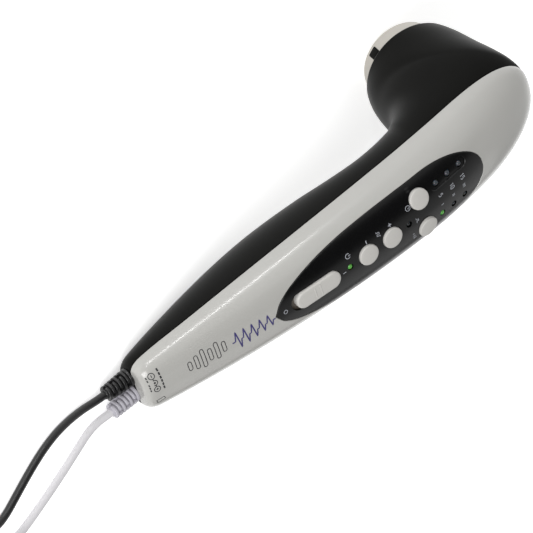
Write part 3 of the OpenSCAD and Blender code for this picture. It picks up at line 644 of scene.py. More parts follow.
def tube(name, path, radius):
    """A round bar along a path in millimetres, with its rings carried along without twist."""
    along = np.gradient(path, axis=0)
    along /= np.linalg.norm(along, axis=1, keepdims=True)
    side = np.cross(along[0], [0, 0, 1.0])
    verts = []
    for p, t in zip(path, along):
        side = side - t * np.dot(side, t)
        side /= np.linalg.norm(side)
        up = np.cross(side, t)
        for x, y in circle(radius, CORD_SIDES):
            verts.append((p + x * side + y * up) * MM)
    return build(name, verts, rings_faces(len(path), CORD_SIDES), 60)


def make_lead(name, route, coil, end_route, look, node):
    path = evenly(through(route, 6) + winding(**coil) + through(end_route, 6), 2.2)
    obj = finish_piece(tube(name, path, LEAD_D / 2), look, node, node + "_coil", node + "_end")
    return obj, path * MM


TIE_T = 0.8
TIE_ANGLE = 20


def make_tie(name, coil, high, start, node):
    """A strap closed round the bundle of a coil, bowed along its width like webbing."""
    w, h = COIL_WIDE * LEAD_D / 2, high * LEAD_D
    r = coil["r"]
    outer = rounded([(r - w - TIE_T, 0), (r + w + TIE_T, 0), (r + w + TIE_T, h + 2 * TIE_T),
                     (r - w - TIE_T, h + 2 * TIE_T)], 1.5)
    inner = rounded([(r - w, TIE_T), (r + w, TIE_T), (r + w, h + TIE_T), (r - w, h + TIE_T)], 0.9)
    n, steps = len(outer), 10
    verts, faces = [], []
    for loop in (outer, inner):
        mid = np.mean(loop, axis=0)
        for i in range(steps + 1):
            edge = abs(2 * i / steps - 1) ** 4 * (0.3 if loop is outer else -0.1) / w
            a = math.radians(start + TIE_ANGLE * i / steps)
            for p in loop:
                x, z = mid + (np.array(p) - mid) * (1 - edge)
                verts.append((coil["at"][0] * MM + x * math.cos(a) * MM, coil["at"][1] * MM
                              + x * math.sin(a) * MM, max(z, 0) * MM))
    shift = (steps + 1) * n
    for i in range(steps):
        for j in range(n):
            k = (j + 1) % n
            faces.append((i * n + j, i * n + k, (i + 1) * n + k, (i + 1) * n + j))
            faces.append(tuple(shift + f for f in (i * n + j, (i + 1) * n + j, (i + 1) * n + k, i * n + k)))
    for i in (0, steps):
        faces += [(i * n + j, i * n + (j + 1) % n, shift + i * n + (j + 1) % n, shift + i * n + j)
                  for j in range(n)]
    return finish_piece(build(name, verts, faces), "tie_black", node)


def at_end(route, heading):
    return Matrix.Translation(Vector(route[-1])) @ turn(heading, "Z") @ turn(90, "Y")


def make_power_plug():
    """Barrel plug: ribbed boot, grip with finger rings, and a hollow contact."""
    place = at_end(POWER_END_ROUTE, -90)
    boot, grip, grip_r = 9.0, 16.0, 5.2
    profile = [(0, -0.5), (2.25, -0.5), (2.45, -0.2)]
    for i in range(4):
        z, r = 0.6 + 2 * i, 2.6 + 0.33 * i
        profile += [(r, z), (r + 0.25, z + 0.2), (r + 0.3, z + 1.1), (r - 0.1, z + 1.3), (r - 0.1, z + 1.8)]
    profile += [(grip_r - 0.9, boot - 0.3), (grip_r - 0.2, boot)]
    for i in range(4):
        z = boot + 3 + 2.4 * i
        profile += [(grip_r, z - 2.1), (grip_r, z - 0.15), (grip_r - 0.35, z + 0.05),
                    (grip_r - 0.35, z + 0.25)]
    profile += [(grip_r, boot + 10.7), (grip_r, boot + grip - 0.9), (grip_r - 0.25, boot + grip - 0.3),
                (grip_r - 0.8, boot + grip), (0, boot + grip)]
    plug = finish_piece(turned("plug_power", profile, place), "black_cord", "power_plug")
    b, r, bore, length = boot + grip, 2.75, 1.25, 9.5
    contact = rounded([(bore, b + 1, 0), (bore, b + length, 0.2), (r, b + length, 0.45), (r, b, 0),
                       (0, b, 0), (0, b + 1, 0)], 0.2)
    barrel = turned("plug_power_barrel", contact, place)
    return plug, finish_piece(barrel, "steel", "power_plug_barrel")


def make_electrode_plug():
    """Pin plug for an electrode pad: a slim waisted body and a round-nosed pin."""
    place = at_end(ELECTRODE_END_ROUTE, 0)
    body = [(0, -0.5), (2.1, -0.5), (2.3, -0.2), (2.35, 2), (2.45, 4.5), (2.65, 6.5), (3.1, 8.3), (3.35, 9.2)]
    for i in range(5):
        z = 10.5 + 1.6 * i
        body += [(3.4, z - 0.6), (3.4, z), (3.1, z + 0.2), (3.1, z + 0.5), (3.4, z + 0.7)]
    body += [(3.4, 22.4), (3.2, 23.4), (2.7, 24), (0, 24)]
    plug = finish_piece(turned("plug_electrode", body, place, 48), "white_cord",
                        "electrode_plug")
    pin = [(0, 24), (1, 24), (1, 33), (0.85, 33.6), (0.5, 33.93), (0, 34)]
    contact = turned("plug_electrode_pin", pin, place, 32)
    return plug, finish_piece(contact, "steel", "electrode_pin")


# --- strain reliefs ---
RELIEF_Y = 4.4
RELIEF_Z = -4.0
RELIEF_LEN = 13.6
RELIEF_RIBS = 6


def make_relief(name, side, look, node):
    """Collar against the tail wall, then ribs cut through by slots that turn from rib to rib."""
    base = REST @ Matrix.Translation((TAIL_X, side * RELIEF_Y, RELIEF_Z)) @ turn(-90, "Y")
    bent = base @ turn(3.4, "Y") @ turn(side * -3, "X")
    collar = rounded([(0, -6, 0), (3.8, -6), (3.8, -WALL - 0.05), (2.85, -WALL - 0.05, 0), (2.85, 0.05, 0),
                      (4.2, 0.05, 0.1), (4.2, 1.4, 0.4), (0, 1.4, 0)], 0.15, 3)
    pieces = [turned(name + "_collar", collar, base, 48)]
    core = [(0, 1.2), (2.9, 1.2), (2.75, 3), (2.35, RELIEF_LEN - 0.5), (2.1, RELIEF_LEN), (0, RELIEF_LEN)]
    pieces.append(turned(name + "_core", core, bent, 40))
    pitch = (RELIEF_LEN - 2) / RELIEF_RIBS
    for i in range(RELIEF_RIBS):
        z, r = 2 + pitch * i, 4.15 - 0.6 * i / (RELIEF_RIBS - 1)
        rib = rounded([(2.0, z), (r, z + 0.1, 0.25), (r, z + 1.25, 0.35), (2.0, z + 1.35)], 0.0, 3)
        a = 90 * (i % 2)
        arcs = [(a + 12, a + 168), (a + 192, a + 348)]
        pieces.append(turned(f"{name}_rib{i}", rib, bent, 48, arcs))
    whole = combine(pieces[0], pieces[1:], "UNION")
    whole.name = name
    return finish_piece(whole, look, node)


# --- top cover ---
NOSE_CENTRE = 190.0


def eased(p, depth, radius):
    """Rounds the edge along the parting: points less than radius from it move inwards."""
    short = np.clip(radius - depth, 0, radius)
    inward = radius - np.sqrt(np.maximum(0, radius**2 - short**2))
    away = np.stack([np.maximum(0, p[..., 0] - NOSE_CENTRE), p[..., 1]], axis=-1)
    away /= np.maximum(np.linalg.norm(away, axis=-1, keepdims=True), 1e-6)
    out = p.copy()
    out[..., :2] -= away * inward[..., None]
    return out


TAIL_ROUND = 0.8
TAIL_STATIONS = [TAIL_X + TAIL_ROUND * (1 - cosd(a)) for a in range(0, 90, 15)]


def tail_pull(x):
    """How far the outside is drawn in at x by the rounding of the tail's edge."""
    return TAIL_ROUND - math.sqrt(max(0, TAIL_ROUND**2 - max(0, TAIL_ROUND - (x - TAIL_X)) ** 2))


COVER_COLUMNS = 88
EDGE_STEPS = [0, 0.03, 0.08, 0.15, 0.24, 0.35, 0.6]


def cover_stations(end):
    first = [0, 0.4, 0.9, 1.5, 2.2, 3, 4]
    handle = np.linspace(5, NOSE_X, 92)
    nose = NOSE_X + (end - NOSE_X) * np.sin(np.radians(np.linspace(0, 90, 44)))
    return np.concatenate([TAIL_STATIONS, first, handle, nose[1:]])


def cover_skin(inset):
    """Rows of points across the cover, from its -Y edge over the crown to its +Y edge."""
    end = BODY_LEN - 0.02 - inset
    rows = []
    for x in cover_stations(end):
        u = max(0, x - NOSE_X) / (BODY_LEN - inset - NOSE_X)
        outer_x = x + inset * u
        w = float(half_width(outer_x)) - inset * (1 - u**4)
        low = float(parting(x))
        top = max(float(crown(outer_x)) - inset * (1 - u**4 * 0.9), low + 0.1)
        if inset == 0:
            w, top = w - tail_pull(x), top - tail_pull(x)
        n = float(smooth(FULLNESS_AT, x))
        lifts = np.array([min(h / (top - low), 0.999) for h in EDGE_STEPS])
        edge = np.degrees(np.arccos(lifts ** (n / 2)))
        middle = np.linspace(-edge[-1], edge[-1], COVER_COLUMNS)[1:-1]
        t = np.radians(np.concatenate([-edge, middle, edge[::-1]]))
        at = x + inset * max(0, 1 - (x - TAIL_X) / inset) if inset else x
        row = np.stack([np.full_like(t, at), w * power(np.sin(t), 2 / n),
                        low + (top - low) * power(np.maximum(np.cos(t), 0), 2 / n)], axis=-1)
        rows.append(row)
    rows = np.array(rows)
    return eased(rows, rows[..., 2] - parting(rows[..., 0]), EDGE_ROUND) if inset == 0 else rows


def shell(name, outer, inner, seam, ring):
    """Two skins joined along their open edges up to the seam row, with a wall at the first row, and a
    ring or a wall at the last."""
    rows, m = outer.shape[:2]
    s = rows * m
    faces = []
    for i in range(rows - 1):
        for j in range(m - 1):
            a, b = i * m + j, (i + 1) * m + j
            faces += [(a, b, b + 1, a + 1), (s + a, s + a + 1, s + b + 1, s + b)]
    for i in range(min(seam, rows - 1)):
        a, b = i * m, (i + 1) * m
        c, d = a + m - 1, b + m - 1
        faces += [(a, s + a, s + b, b), (c, d, s + d, s + c)]
    last = (rows - 1) * m
    faces += [tuple(range(m)), tuple(range(s + m - 1, s - 1, -1)), (0, m - 1, s + m - 1, s)]
    if ring:
        faces += [(last + j, s + last + j, s + last + j + 1, last + j + 1) for j in range(m - 1)]
    else:
        faces += [tuple(range(last + m - 1, last - 1, -1)), tuple(range(s + last, s + last + m)),
                  (last, s + last, s + last + m - 1, last + m - 1)]
    return build(name, world(np.concatenate([outer.reshape(-1, 3), inner.reshape(-1, 3)])), faces)


def panel_half(x):
    x = np.asarray(x, float)
    tip_len = 3.0
    head = 15.6 * closing((x - PANEL_ROUND_X) / (PANEL_END - PANEL_ROUND_X), 2.2)
    tail = smooth(PANEL_AT, x) * closing((PANEL_TIP + tip_len - x) / tip_len, 2.0)
    return np.where(x > PANEL_ROUND_X, head, tail)


def panel_outline(inset=0.0):
    """The panel's outline seen from above, pointed at the tail end and round at the head end, or a line
    inside it."""
    tail = 8 * (1 - np.cos(np.radians(np.linspace(0, 90, 16))))[1:]
    side = np.linspace(8, PANEL_ROUND_X - PANEL_TIP, 42)[1:]
    head = (PANEL_END - PANEL_ROUND_X) * np.sin(np.radians(np.linspace(0, 90, 30)))[1:-1]
    x = np.concatenate([PANEL_TIP + tail, PANEL_TIP + side, PANEL_ROUND_X + head])
    x = x[panel_half(x) > 1.2 * inset]
    half = panel_half(x) - inset
    ends = [[PANEL_END - inset, 0]], [[x[0] - (0.3 if inset else x[0] - PANEL_TIP), 0]]
    return np.concatenate([np.stack([x, -half], axis=1), ends[0], np.stack([x, half], axis=1)[::-1], ends[1]])


def make_cover():
    obj = shell("cover_shell", cover_skin(0), cover_skin(WALL), 10**6, False)
    outline = panel_outline()
    pocket = conforming("pocket", outline, [(1.6, -1.2), (0.45, -0.05), (0.28, 0.12), (0.16, 0.3),
                                            (0.16, PANEL_T)])
    window = conforming("window", panel_outline(2.0), [(0, PANEL_T - 0.5), (0, 9)])
    slot = rod("slot", stadium(FLANGE_LEN + SLIDER_TRAVEL + 1, SLIDER_W + 2 * SLIDER_LIP + 0.8),
               on_face(SLIDER_AT) @ Matrix.Translation((-SLIDER_TRAVEL / 2, 0, 0)), -9, -0.3)
    combine(obj, [pocket, window, slot], "DIFFERENCE")
    shade_by_face(obj)
    return finish_piece(obj, "white_shell", "top_cover")


GROOVE_LEN = 20.0
GROOVE_W = 4.6


def make_panel():
    """Gloss panel, a slab that follows the face, with holes for the controls and a sunk groove."""
    outline = panel_outline()
    obj = conforming("panel_face", outline, [(-0.32, 0), (-0.16, 0.03), (-0.05, 0.12), (0, 0.26),
                                             (0, PANEL_T - 0.1)], rings=26)
    cutters = [rod("hole_" + k, circle(BUTTON_D / 2 + 0.2), on_face(p), -5, 5) for k, p in BUTTONS_AT.items()]
    lights = [POWER_LIGHT_AT, OUTPUT_LIGHT_AT, *TIME_LIGHTS_AT, *LEVEL_LIGHTS_AT]
    cutters += [rod(f"eye{i}", circle(LIGHT_R + 0.15, 40), REST @ Matrix.Translation((*p, 0)), 8, 28)
                for i, p in enumerate(lights)]
    cutters.append(rod("slot", stadium(SLIDER_LEN + SLIDER_TRAVEL + 0.6, SLIDER_W + 0.4),
                       on_face(SLIDER_AT) @ Matrix.Translation((-SLIDER_TRAVEL / 2, 0, 0)), -5, 5))
    cutters.append(conforming("groove", np.array(stadium(GROOVE_LEN, GROOVE_W)) + TIME_LIGHTS_AT[1],
                              [(0.8, -1), (0.25, -0.02), (0.1, 0.12), (0, 0.6)], rings=6))
    combine(obj, cutters, "DIFFERENCE")
    shade_by_face(obj)
    return finish_piece(obj, "panel", "control_panel")


# --- lower casing ---
CASING_COLUMNS = 72
RIM_ROUND = 1.0


def casing_row(a, x, w, top, bottom, full, n):
    """Section from the +Y edge round the underside to the -Y edge, upright or fanned about the pivot."""
    t0 = math.degrees(math.asin(min(1, (max(w, 0) / full) ** (n / 2))))
    r = (top - bottom) / (1 + cosd(t0) ** (2 / n))
    mid = bottom + r
    near = np.array([0, 0.25, 0.6, 1.1, 1.8, 2.8, 4.2])
    middle = np.linspace(t0 + 4.2, 360 - t0 - 4.2, CASING_COLUMNS)[1:-1]
    t = np.radians(np.concatenate([t0 + near, middle, 360 - t0 - near[::-1]]))
    y = full * power(np.sin(t), 2 / n)
    v = mid + r * power(np.cos(t), 2 / n)
    if x is not None:
        return np.stack([np.full_like(t, x), y, v], axis=-1)
    c, s = cosd(a), sind(a)
    return np.stack([PIVOT[0] + v * c, y, PIVOT[2] + v * s], axis=-1)


SEAM_REACH = 24.0
SEAM_BLEND = 7.0


def seam_softened(rows, seam):
    """Spreads the crease where the open sections turn into closed ones, away from the parting."""
    out = rows.copy()
    across = np.concatenate([[0], np.cumsum(np.linalg.norm(np.diff(rows[seam], axis=0), axis=1))])
    for j, edge in enumerate(np.minimum(across, across[-1] - across)):
        line = rows[:, j]
        s = np.concatenate([[0], np.cumsum(np.linalg.norm(np.diff(line, axis=0), axis=1))])
        s -= s[seam]
        for i in np.flatnonzero(np.abs(s) < SEAM_REACH):
            weight = np.exp(-(((s - s[i]) / SEAM_BLEND) ** 2) / 2) * np.gradient(s)
            near = weight > 1e-3 * weight.max()
            fit = np.polyfit(s[near] - s[i], line[near], 2, w=np.sqrt(weight[near]))[2]
            share = (1 - (s[i] / SEAM_REACH) ** 2) ** 2 * np.clip(edge / 9 - 0.1, 0, 1) ** 1.5
            out[i, j] += (fit - line[i]) * share
    return out


def casing_skin(inset):
    rows = []
    upright = np.concatenate([TAIL_STATIONS, [0, 0.6, 1.3, 2.2, 3.4, 5], np.linspace(7, PIVOT[0] - 2.5, 62)])
    for x in upright:
        w = float(half_width(x)) - inset
        bottom = float(smooth(BELLY_AT, x)) + inset
        if inset == 0:
            w, bottom = w - tail_pull(x), bottom + tail_pull(x)
        at = x + inset * max(0, 1 - (x - TAIL_X) / inset) if inset else x
        rows.append(casing_row(90, at, w, float(parting(x)) - GAP, bottom, w, HANDLE_POWER))
    front_x = BODY_LEN - inset
    for u in np.linspace(0, 1, 44):
        x = PIVOT[0] + (front_x - PIVOT[0]) * math.sin(math.pi / 2 * u)
        a = math.degrees(math.atan2(float(parting(x)) - PIVOT[2], x - PIVOT[0]))
        outer_x = x + inset * (x - PIVOT[0]) / (front_x - PIVOT[0])
        w = max(0, float(half_width(outer_x)) - inset * (1 - u**4))
        top = math.hypot(x - PIVOT[0], float(parting(x)) - PIVOT[2]) - GAP
        rows.append(casing_row(a, None, w, top, float(smooth(NECK_AT, a)) + inset,
                               max(w, float(smooth(BARREL_AT, a)) - inset), HANDLE_POWER))
    seam = len(rows) - 1
    front_a = a
    steps = np.concatenate([[0.002, 0.005, 0.01, 0.018, 0.03], np.linspace(0.05, 0.9, 26)])
    angles = [front_a + (HEAD_LEAN - front_a) * u for u in steps]
    angles += [HEAD_LEAN + d for d in (2.6, 2.0, 1.5, 1.1, 0.8, 0.55, 0.35, 0.2, 0.1, 0.04, 0)]
    for a in angles:
        u = (front_a - a) / (front_a - HEAD_LEAN)
        rows.append(casing_row(a, None, 0, float(smooth(FRONT_AT, a)) - inset,
                               float(smooth(NECK_AT, a)) + inset, float(smooth(BARREL_AT, a)) - inset,
                               2 + (HANDLE_POWER - 2) * (1 - u)))
    rows = np.array(rows)
    if inset == 0:
        rows = seam_softened(rows, seam)
        top = np.minimum(rows[..., 0], BODY_LEN)
        rows = eased(rows, parting(top) - GAP - rows[..., 2], EDGE_ROUND)
        rows = rim_rounded(rows)
    rows[seam:, -1] = rows[seam:, 0]
    return rows, seam


def rim_rounded(p):
    """Rounds the outer edge of the rim that holds the applicator."""
    axis = np.array([-math.sin(LEAN), 0, math.cos(LEAN)])
    local = p - RIM_C
    height = local @ axis
    radial = local - height[..., None] * axis
    size = np.linalg.norm(radial, axis=-1)
    short = np.clip(RIM_ROUND - height, 0, RIM_ROUND)
    inward = RIM_ROUND - np.sqrt(np.maximum(0, RIM_ROUND**2 - short**2))
    inward = np.where((height < RIM_ROUND) & (p[..., 0] > PIVOT[0]), inward, 0)
    return p - radial / np.maximum(size, 1e-6)[..., None] * inward[..., None]


CASING_SCREW_X = [17.0, 52.0]
SCREW_DEPTH = 5.0
SCREW_R = 1.3
SCREW_HEAD_R = 2.7


def make_casing():
    outer, seam = casing_skin(0)
    obj = shell("casing_shell", outer, casing_skin(WALL)[0], seam, True)
    posts, cuts = [], []
    for x in CASING_SCREW_X:
        low = float(smooth(BELLY_AT, x))
        place = REST @ Matrix.Translation((x, 0, 0))
        posts.append(rod("post", circle(4.4, 48), place, low + 1, float(parting(x)) - GAP - 0.3))
        well_r, hole_r, floor = SCREW_HEAD_R + 0.3, SCREW_R + 0.2, low + SCREW_DEPTH
        mouth = rounded([(0, low - 3, 0), (SCREW_HEAD_R + 1.6, low - 3, 0), (well_r + 0.25, low - 0.1, 0.4),
                         (well_r, low + 0.5, 0), (well_r, floor, 0), (hole_r, floor, 0),
                         (hole_r, low + 40, 0), (0, low + 40, 0)], 0.1, 4)
        cuts.append(turned("well", mouth, place, 48))
    cuts += [rod("hole", circle(2.9, 40), REST @ Matrix.Translation((TAIL_X - 3, s * RELIEF_Y, RELIEF_Z))
                 @ turn(90, "Y"), 0, 6) for s in (-1, 1)]
    combine(obj, posts, "UNION")
    combine(obj, cuts, "DIFFERENCE")
    return finish_piece(obj, "black_shell", "lower_casing")


# --- controls ---
def make_button(name):
    """Crowned cap with a soft rim bevel, a flange under the panel and a stem."""
    r = BUTTON_D / 2
    profile = [(0, -5), (1.4, -5), (1.4, FLANGE_Z - 0.8), (r + 0.7, FLANGE_Z - 0.8), (r + 0.7, FLANGE_Z),
               (r, FLANGE_Z)]
    profile += [(r - 0.55 + 0.55 * cosd(a), 0.62 + 0.42 * sind(a)) for a in range(0, 91, 15)]
    profile += [(r * k, 1.04 + 0.3 * (1 - k**2)) for k in (0.82, 0.7, 0.55, 0.4, 0.2, 0)]
    obj = turned("button_" + name, profile, on_face(BUTTONS_AT[name]), 80)
    return finish_piece(obj, "button_white", name + "_button", body=name)


KNOB_H = 1.2
KNOB_BEVEL = 1.1
KNOB_LINES = [-1.9, 0.9]
LINE_RISE = 0.14


def bar_rings(name, length, width, levels, place):
    """A bar with round ends, built up through levels of (growth of its outline, height)."""
    straight, r = (length - width) / 2, width / 2
    outline = np.array(stadium(length, width))
    core = np.stack([np.sign(outline[:, 0]) * straight, np.zeros(len(outline))], axis=1)
    pts = [(x, y, z) for g, z in levels for x, y in core + (outline - core) * (r + g) / r]
    return build(name, placed(pts, place), rings_faces(len(levels), len(outline)))


def make_slider():
    """Long knob with a wide bevel and two low ridges across its middle, and the flange under it."""
    place = on_face(SLIDER_AT)
    half = SLIDER_W / 2
    levels = [(-half + 0.3, KNOB_H + 0.1)]
    levels += [(-half + (half - KNOB_BEVEL) * k, KNOB_H + 0.1 * (1 - k**2)) for k in (0.25, 0.5, 0.75, 1.0)]
    levels += [(-KNOB_BEVEL * (1 - sind(a)), KNOB_H - 0.8 * KNOB_BEVEL * (1 - cosd(a)))
               for a in range(15, 91, 15)]
    levels += [(0, FLANGE_Z)]
    knob = bar_rings("slider_knob", SLIDER_LEN, SLIDER_W, levels, place)
    finish_piece(knob, "button_white", "power_slider", body="slider")
    lip = [(SLIDER_LIP - 0.15, FLANGE_Z), (SLIDER_LIP, FLANGE_Z - 0.15), (SLIDER_LIP, FLANGE_Z - 1)]
    flange = bar_rings("slider_flange", FLANGE_LEN - 2 * SLIDER_LIP, SLIDER_W,
                       [(-half + 0.3, FLANGE_Z), *lip], place)
    finish_piece(flange, "flange_brown", slot="switch_black", body="slider")
    for i, x in enumerate(KNOB_LINES):
        ridge = bar_rings(f"slider_ridge_{i}", SLIDER_W - 2 * KNOB_BEVEL - 0.6, 0.7,
                          [(-0.2, LINE_RISE), (0, 0.02), (0, -0.3)],
                          place @ Matrix.Translation((x, 0, KNOB_H + 0.08)) @ turn(90, "Z"))
        finish_piece(ridge, "button_white", body="slider")


def make_light(name, places, rise, look, node):
    """Domed lenses on straight bodies."""
    pieces = []
    for i, (x, y) in enumerate(places):
        top = float(face_z(x, y)) + rise - LIGHT_R
        profile = [(LIGHT_R * cosd(a), LIGHT_R * sind(a)) for a in range(0, 91, 10)]
        profile += [(0, -3.6), (LIGHT_R, -3.6), (LIGHT_R, -3.0)]
        pieces.append(turned(f"{name}_{i}", profile, REST @ Matrix.Translation((x, y, top)), 40))
    whole = combine(pieces[0], pieces[1:], "UNION") if len(pieces) > 1 else pieces[0]
    whole.name = name
    return finish_piece(whole, look, node)


def make_lights():
    make_light("light_power", [POWER_LIGHT_AT], 0.2, "light_green", "power_light")
    make_light("light_output", [OUTPUT_LIGHT_AT], -0.3, "light_dark", "output_light")
    make_light("lights_time", TIME_LIGHTS_AT, 0.1, "light_grey", "time_lights")
    make_light("lights_level", LEVEL_LIGHTS_AT[1:], -0.3, "light_dark", "level_lights")
    make_light("light_level_on", LEVEL_LIGHTS_AT[:1], 0.1, "light_green", "level_light_on")


# --- applicator ---
CAP_WALL = 1.4
CAP_EDGE = 1.6
CAP_DEPTH = 7.0
CAP_FLANGE_R = CAP_R + 1.8
INSERT_TURN = 130


def make_applicator():
    cap = [(0, -CAP_OUT)]
    cap += [(CAP_R - CAP_EDGE * (1 - sind(a)), -CAP_OUT + CAP_EDGE * (1 - cosd(a))) for a in range(0, 91, 6)]
    cap += [(CAP_R, CAP_DEPTH - 1.4), (CAP_FLANGE_R, CAP_DEPTH - 1.4), (CAP_FLANGE_R, CAP_DEPTH),
            (CAP_R - CAP_WALL, CAP_DEPTH), (CAP_R - CAP_WALL, -CAP_OUT + CAP_WALL + 0.4),
            (CAP_R - CAP_WALL - 0.4, -CAP_OUT + CAP_WALL), (0, -CAP_OUT + CAP_WALL)]
    finish_piece(turned("cap_metal_face", cap, ON_RIM, 160), "cap_metal", "applicator_cap")
    outer_r, foot = RIM_R - WALL - 0.25, CAP_DEPTH - 3.5
    ring = rounded([(CAP_R + GAP, 0, 0.35), (outer_r, 0, 0.25), (outer_r, foot + 2), (CAP_R + 1.9, foot + 2),
                    (CAP_R + 1.9, foot), (CAP_R + GAP, foot)], 0.0, 5)
    finish_piece(turned("ring_insulating", ring, ON_RIM, 128), "black_shell", "insulating_ring")
    make_insert()


def make_insert():
    """Small dark insert with round corners, bent to the cap's side."""
    half, low, high = 2.3, -8.6, -3.6
    outline = rounded([(-half, low), (half, low), (half, high), (-half, high)], 0.6, 4)
    n = len(outline)
    pts = []
    for r, shrink in ((CAP_R - 0.1, 1.0), (CAP_R + 0.14, 1.0), (CAP_R + 0.22, 0.9)):
        for a, z in outline:
            angle = math.radians(INSERT_TURN) + a * shrink / CAP_R
            mid = (low + high) / 2
            pts.append((r * math.cos(angle), r * math.sin(angle), mid + (z - mid) * shrink))
    obj = build("cap_side_insert", placed(pts, ON_RIM), rings_faces(3, n))
    finish_piece(obj, "black_shell", "cap_insert")


# --- prints: thin strokes of ink that follow the face ---
INK_T = 0.03


def stroke(path, width, closed=False):
    """A ribbon of ink along a line of (x, y) points on the face: its points and faces."""
    p = np.asarray(path, float)
    ahead = np.roll(p, -1, axis=0) - np.roll(p, 1, axis=0) if closed else np.gradient(p, axis=0)
    ahead /= np.maximum(np.linalg.norm(ahead, axis=1, keepdims=True), 1e-9)
    side = np.stack([-ahead[:, 1], ahead[:, 0]], axis=1) * width / 2
    loops = []
    for edge, lift in ((side, INK_T), (-side, INK_T), (-side, -0.04), (side, -0.04)):
        q = p + edge
        q = np.stack([q[:, 0], q[:, 1], face_z(q[:, 0], q[:, 1])], axis=-1)
        loops.append(q + face_normals(q) * lift)
    verts = np.stack(loops, axis=1).reshape(-1, 3)
    n = len(p)
    faces = [(4 * i + j, 4 * i + (j + 1) % 4, 4 * ((i + 1) % n) + (j + 1) % 4, 4 * ((i + 1) % n) + j)
             for i in range(n if closed else n - 1) for j in range(4)]
    if not closed:
        faces += [(3, 2, 1, 0), tuple(4 * (n - 1) + j for j in range(4))]
    return verts, faces


def dense(points, step=0.8):
    """A polyline with points added along its straight runs."""
    out = [np.array(points[0], float)]
    for a, b in zip(points, points[1:]):
        a, b = np.array(a, float), np.array(b, float)
        k = max(1, math.ceil(np.linalg.norm(b - a) / step))
        out += [a + (b - a) * i / k for i in range(1, k + 1)]
    return out


def print_piece(name, strokes, look):
    verts, faces = [], []
    for path, width, closed in strokes:
        v, f = stroke(path, width, closed)
        faces += [tuple(len(verts) + i for i in face) for face in f]
        verts += list(world(v))
    slot = "panel" if "panel" in name else "white_shell"
    return finish_piece(build(name, verts, faces, 50), look, slot=slot)


# Strokes of the few numerals that a time scale needs, on a grid 2 wide and 4 high
NUMERALS = {
    "0": [[(0.3, 0), (1.7, 0), (2, 0.5), (2, 3.5), (1.7, 4), (0.3, 4), (0, 3.5), (0, 0.5), (0.3, 0)]],
    "1": [[(0.4, 3.2), (1.2, 4), (1.2, 0)]],
    "5": [[(1.9, 4), (0.2, 4), (0.1, 2.3), (1.3, 2.4), (1.9, 1.9), (2, 0.8), (1.5, 0.1), (0.1, 0)]],
}


def face_marks(at, size, shapes, width=0.32):
    """Line shapes drawn on the face about a point, read along -Y with their tops towards the head."""
    return [(dense([(at[0] + size * py, at[1] - size * px) for px, py in shape]), width, False)
            for shape in shapes]


def numeral(text, at, size):
    shapes = []
    shift = -(3 * len(text) - 1) / 2
    for k, ch in enumerate(text):
        shapes += [[(px + shift + 3 * k, py - 2) for px, py in line] for line in NUMERALS[ch]]
    return face_marks(at, size / 4, shapes)


def ring_mark(at, r, width=0.3, n=28):
    return np.array(circle(r, n)) + at, width, True


def arc_mark(at, r, start, end, step, width):
    return [(at[0] + r * cosd(a), at[1] + r * sind(a)) for a in range(start, end, step)], width, False


def make_panel_prints():
    """Numerals of the time scale, plus and minus, and plain symbols in place of words."""
    marks = numeral("5", (150.8, 2.1), 2.0) + numeral("10", (157.4, 2.0), 2.0)
    marks += numeral("15", (163.7, 2.2), 2.0)
    marks += face_marks((123.8, 6.1), 1.0, [[(-0.9, 0), (0.9, 0)], [(0, -0.9), (0, 0.9)]], width=0.4)
    marks += face_marks((111.1, 5.9), 1.0, [[(-0.9, 0), (0.9, 0)]], width=0.4)
    # Power: an open ring with a stem, and I and O at the slider's two ends
    marks.append(arc_mark((101.2, 5.6), 1.15, 40, 321, 14, 0.3))
    marks += face_marks((101.2, 5.6), 1.0, [[(0, 0.1), (0, 1.3)]], width=0.3)
    marks += face_marks((97.3, -0.8), 1.0, [[(0, -0.8), (0, 0.8)]], width=0.35)
    marks.append(ring_mark((66.9, -0.5), 0.85))
    # Output level between minus and plus: a small pulse
    marks += face_marks((117.4, 5.7), 0.8, [[(-1.8, -0.8), (-1, -0.8), (-1, 0.9), (0, 0.9), (0, -0.8),
                                             (1, -0.8), (1, 0.9), (1.8, 0.9)]], width=0.28)
    # Time: a clock face. Mode: three bars. Output light: a single pulse
    marks.append(ring_mark((134.3, 7.3), 1.15, 0.26))
    marks += face_marks((134.3, 7.3), 0.7, [[(0, 1), (0, 0), (0.8, 0)]], width=0.26)
    marks += face_marks((133.4, -7.6), 1.0, [[(-1.2, -0.7), (-1.2, 0.1)], [(0, -0.7), (0, 0.4)],
                                             [(1.2, -0.7), (1.2, 0.9)]], width=0.36)
    marks += face_marks((136.5, -0.8), 0.8, [[(-1.6, -0.6), (-0.5, -0.6), (-0.5, 0.8), (0.5, 0.8),
                                              (0.5, -0.6), (1.6, -0.6)]], width=0.26)
    # Levels: one, two and three bars
    for k, at in enumerate([(150.3, -2.7), (156.8, -2.6), (163.2, -2.5)]):
        marks += face_marks(at, 0.8, [[(0.8 * (i - k / 2), -0.9), (0.8 * (i - k / 2), 0.9)]
                                      for i in range(k + 1)], width=0.28)
    print_piece("panel_marks", marks, "ink_grey")


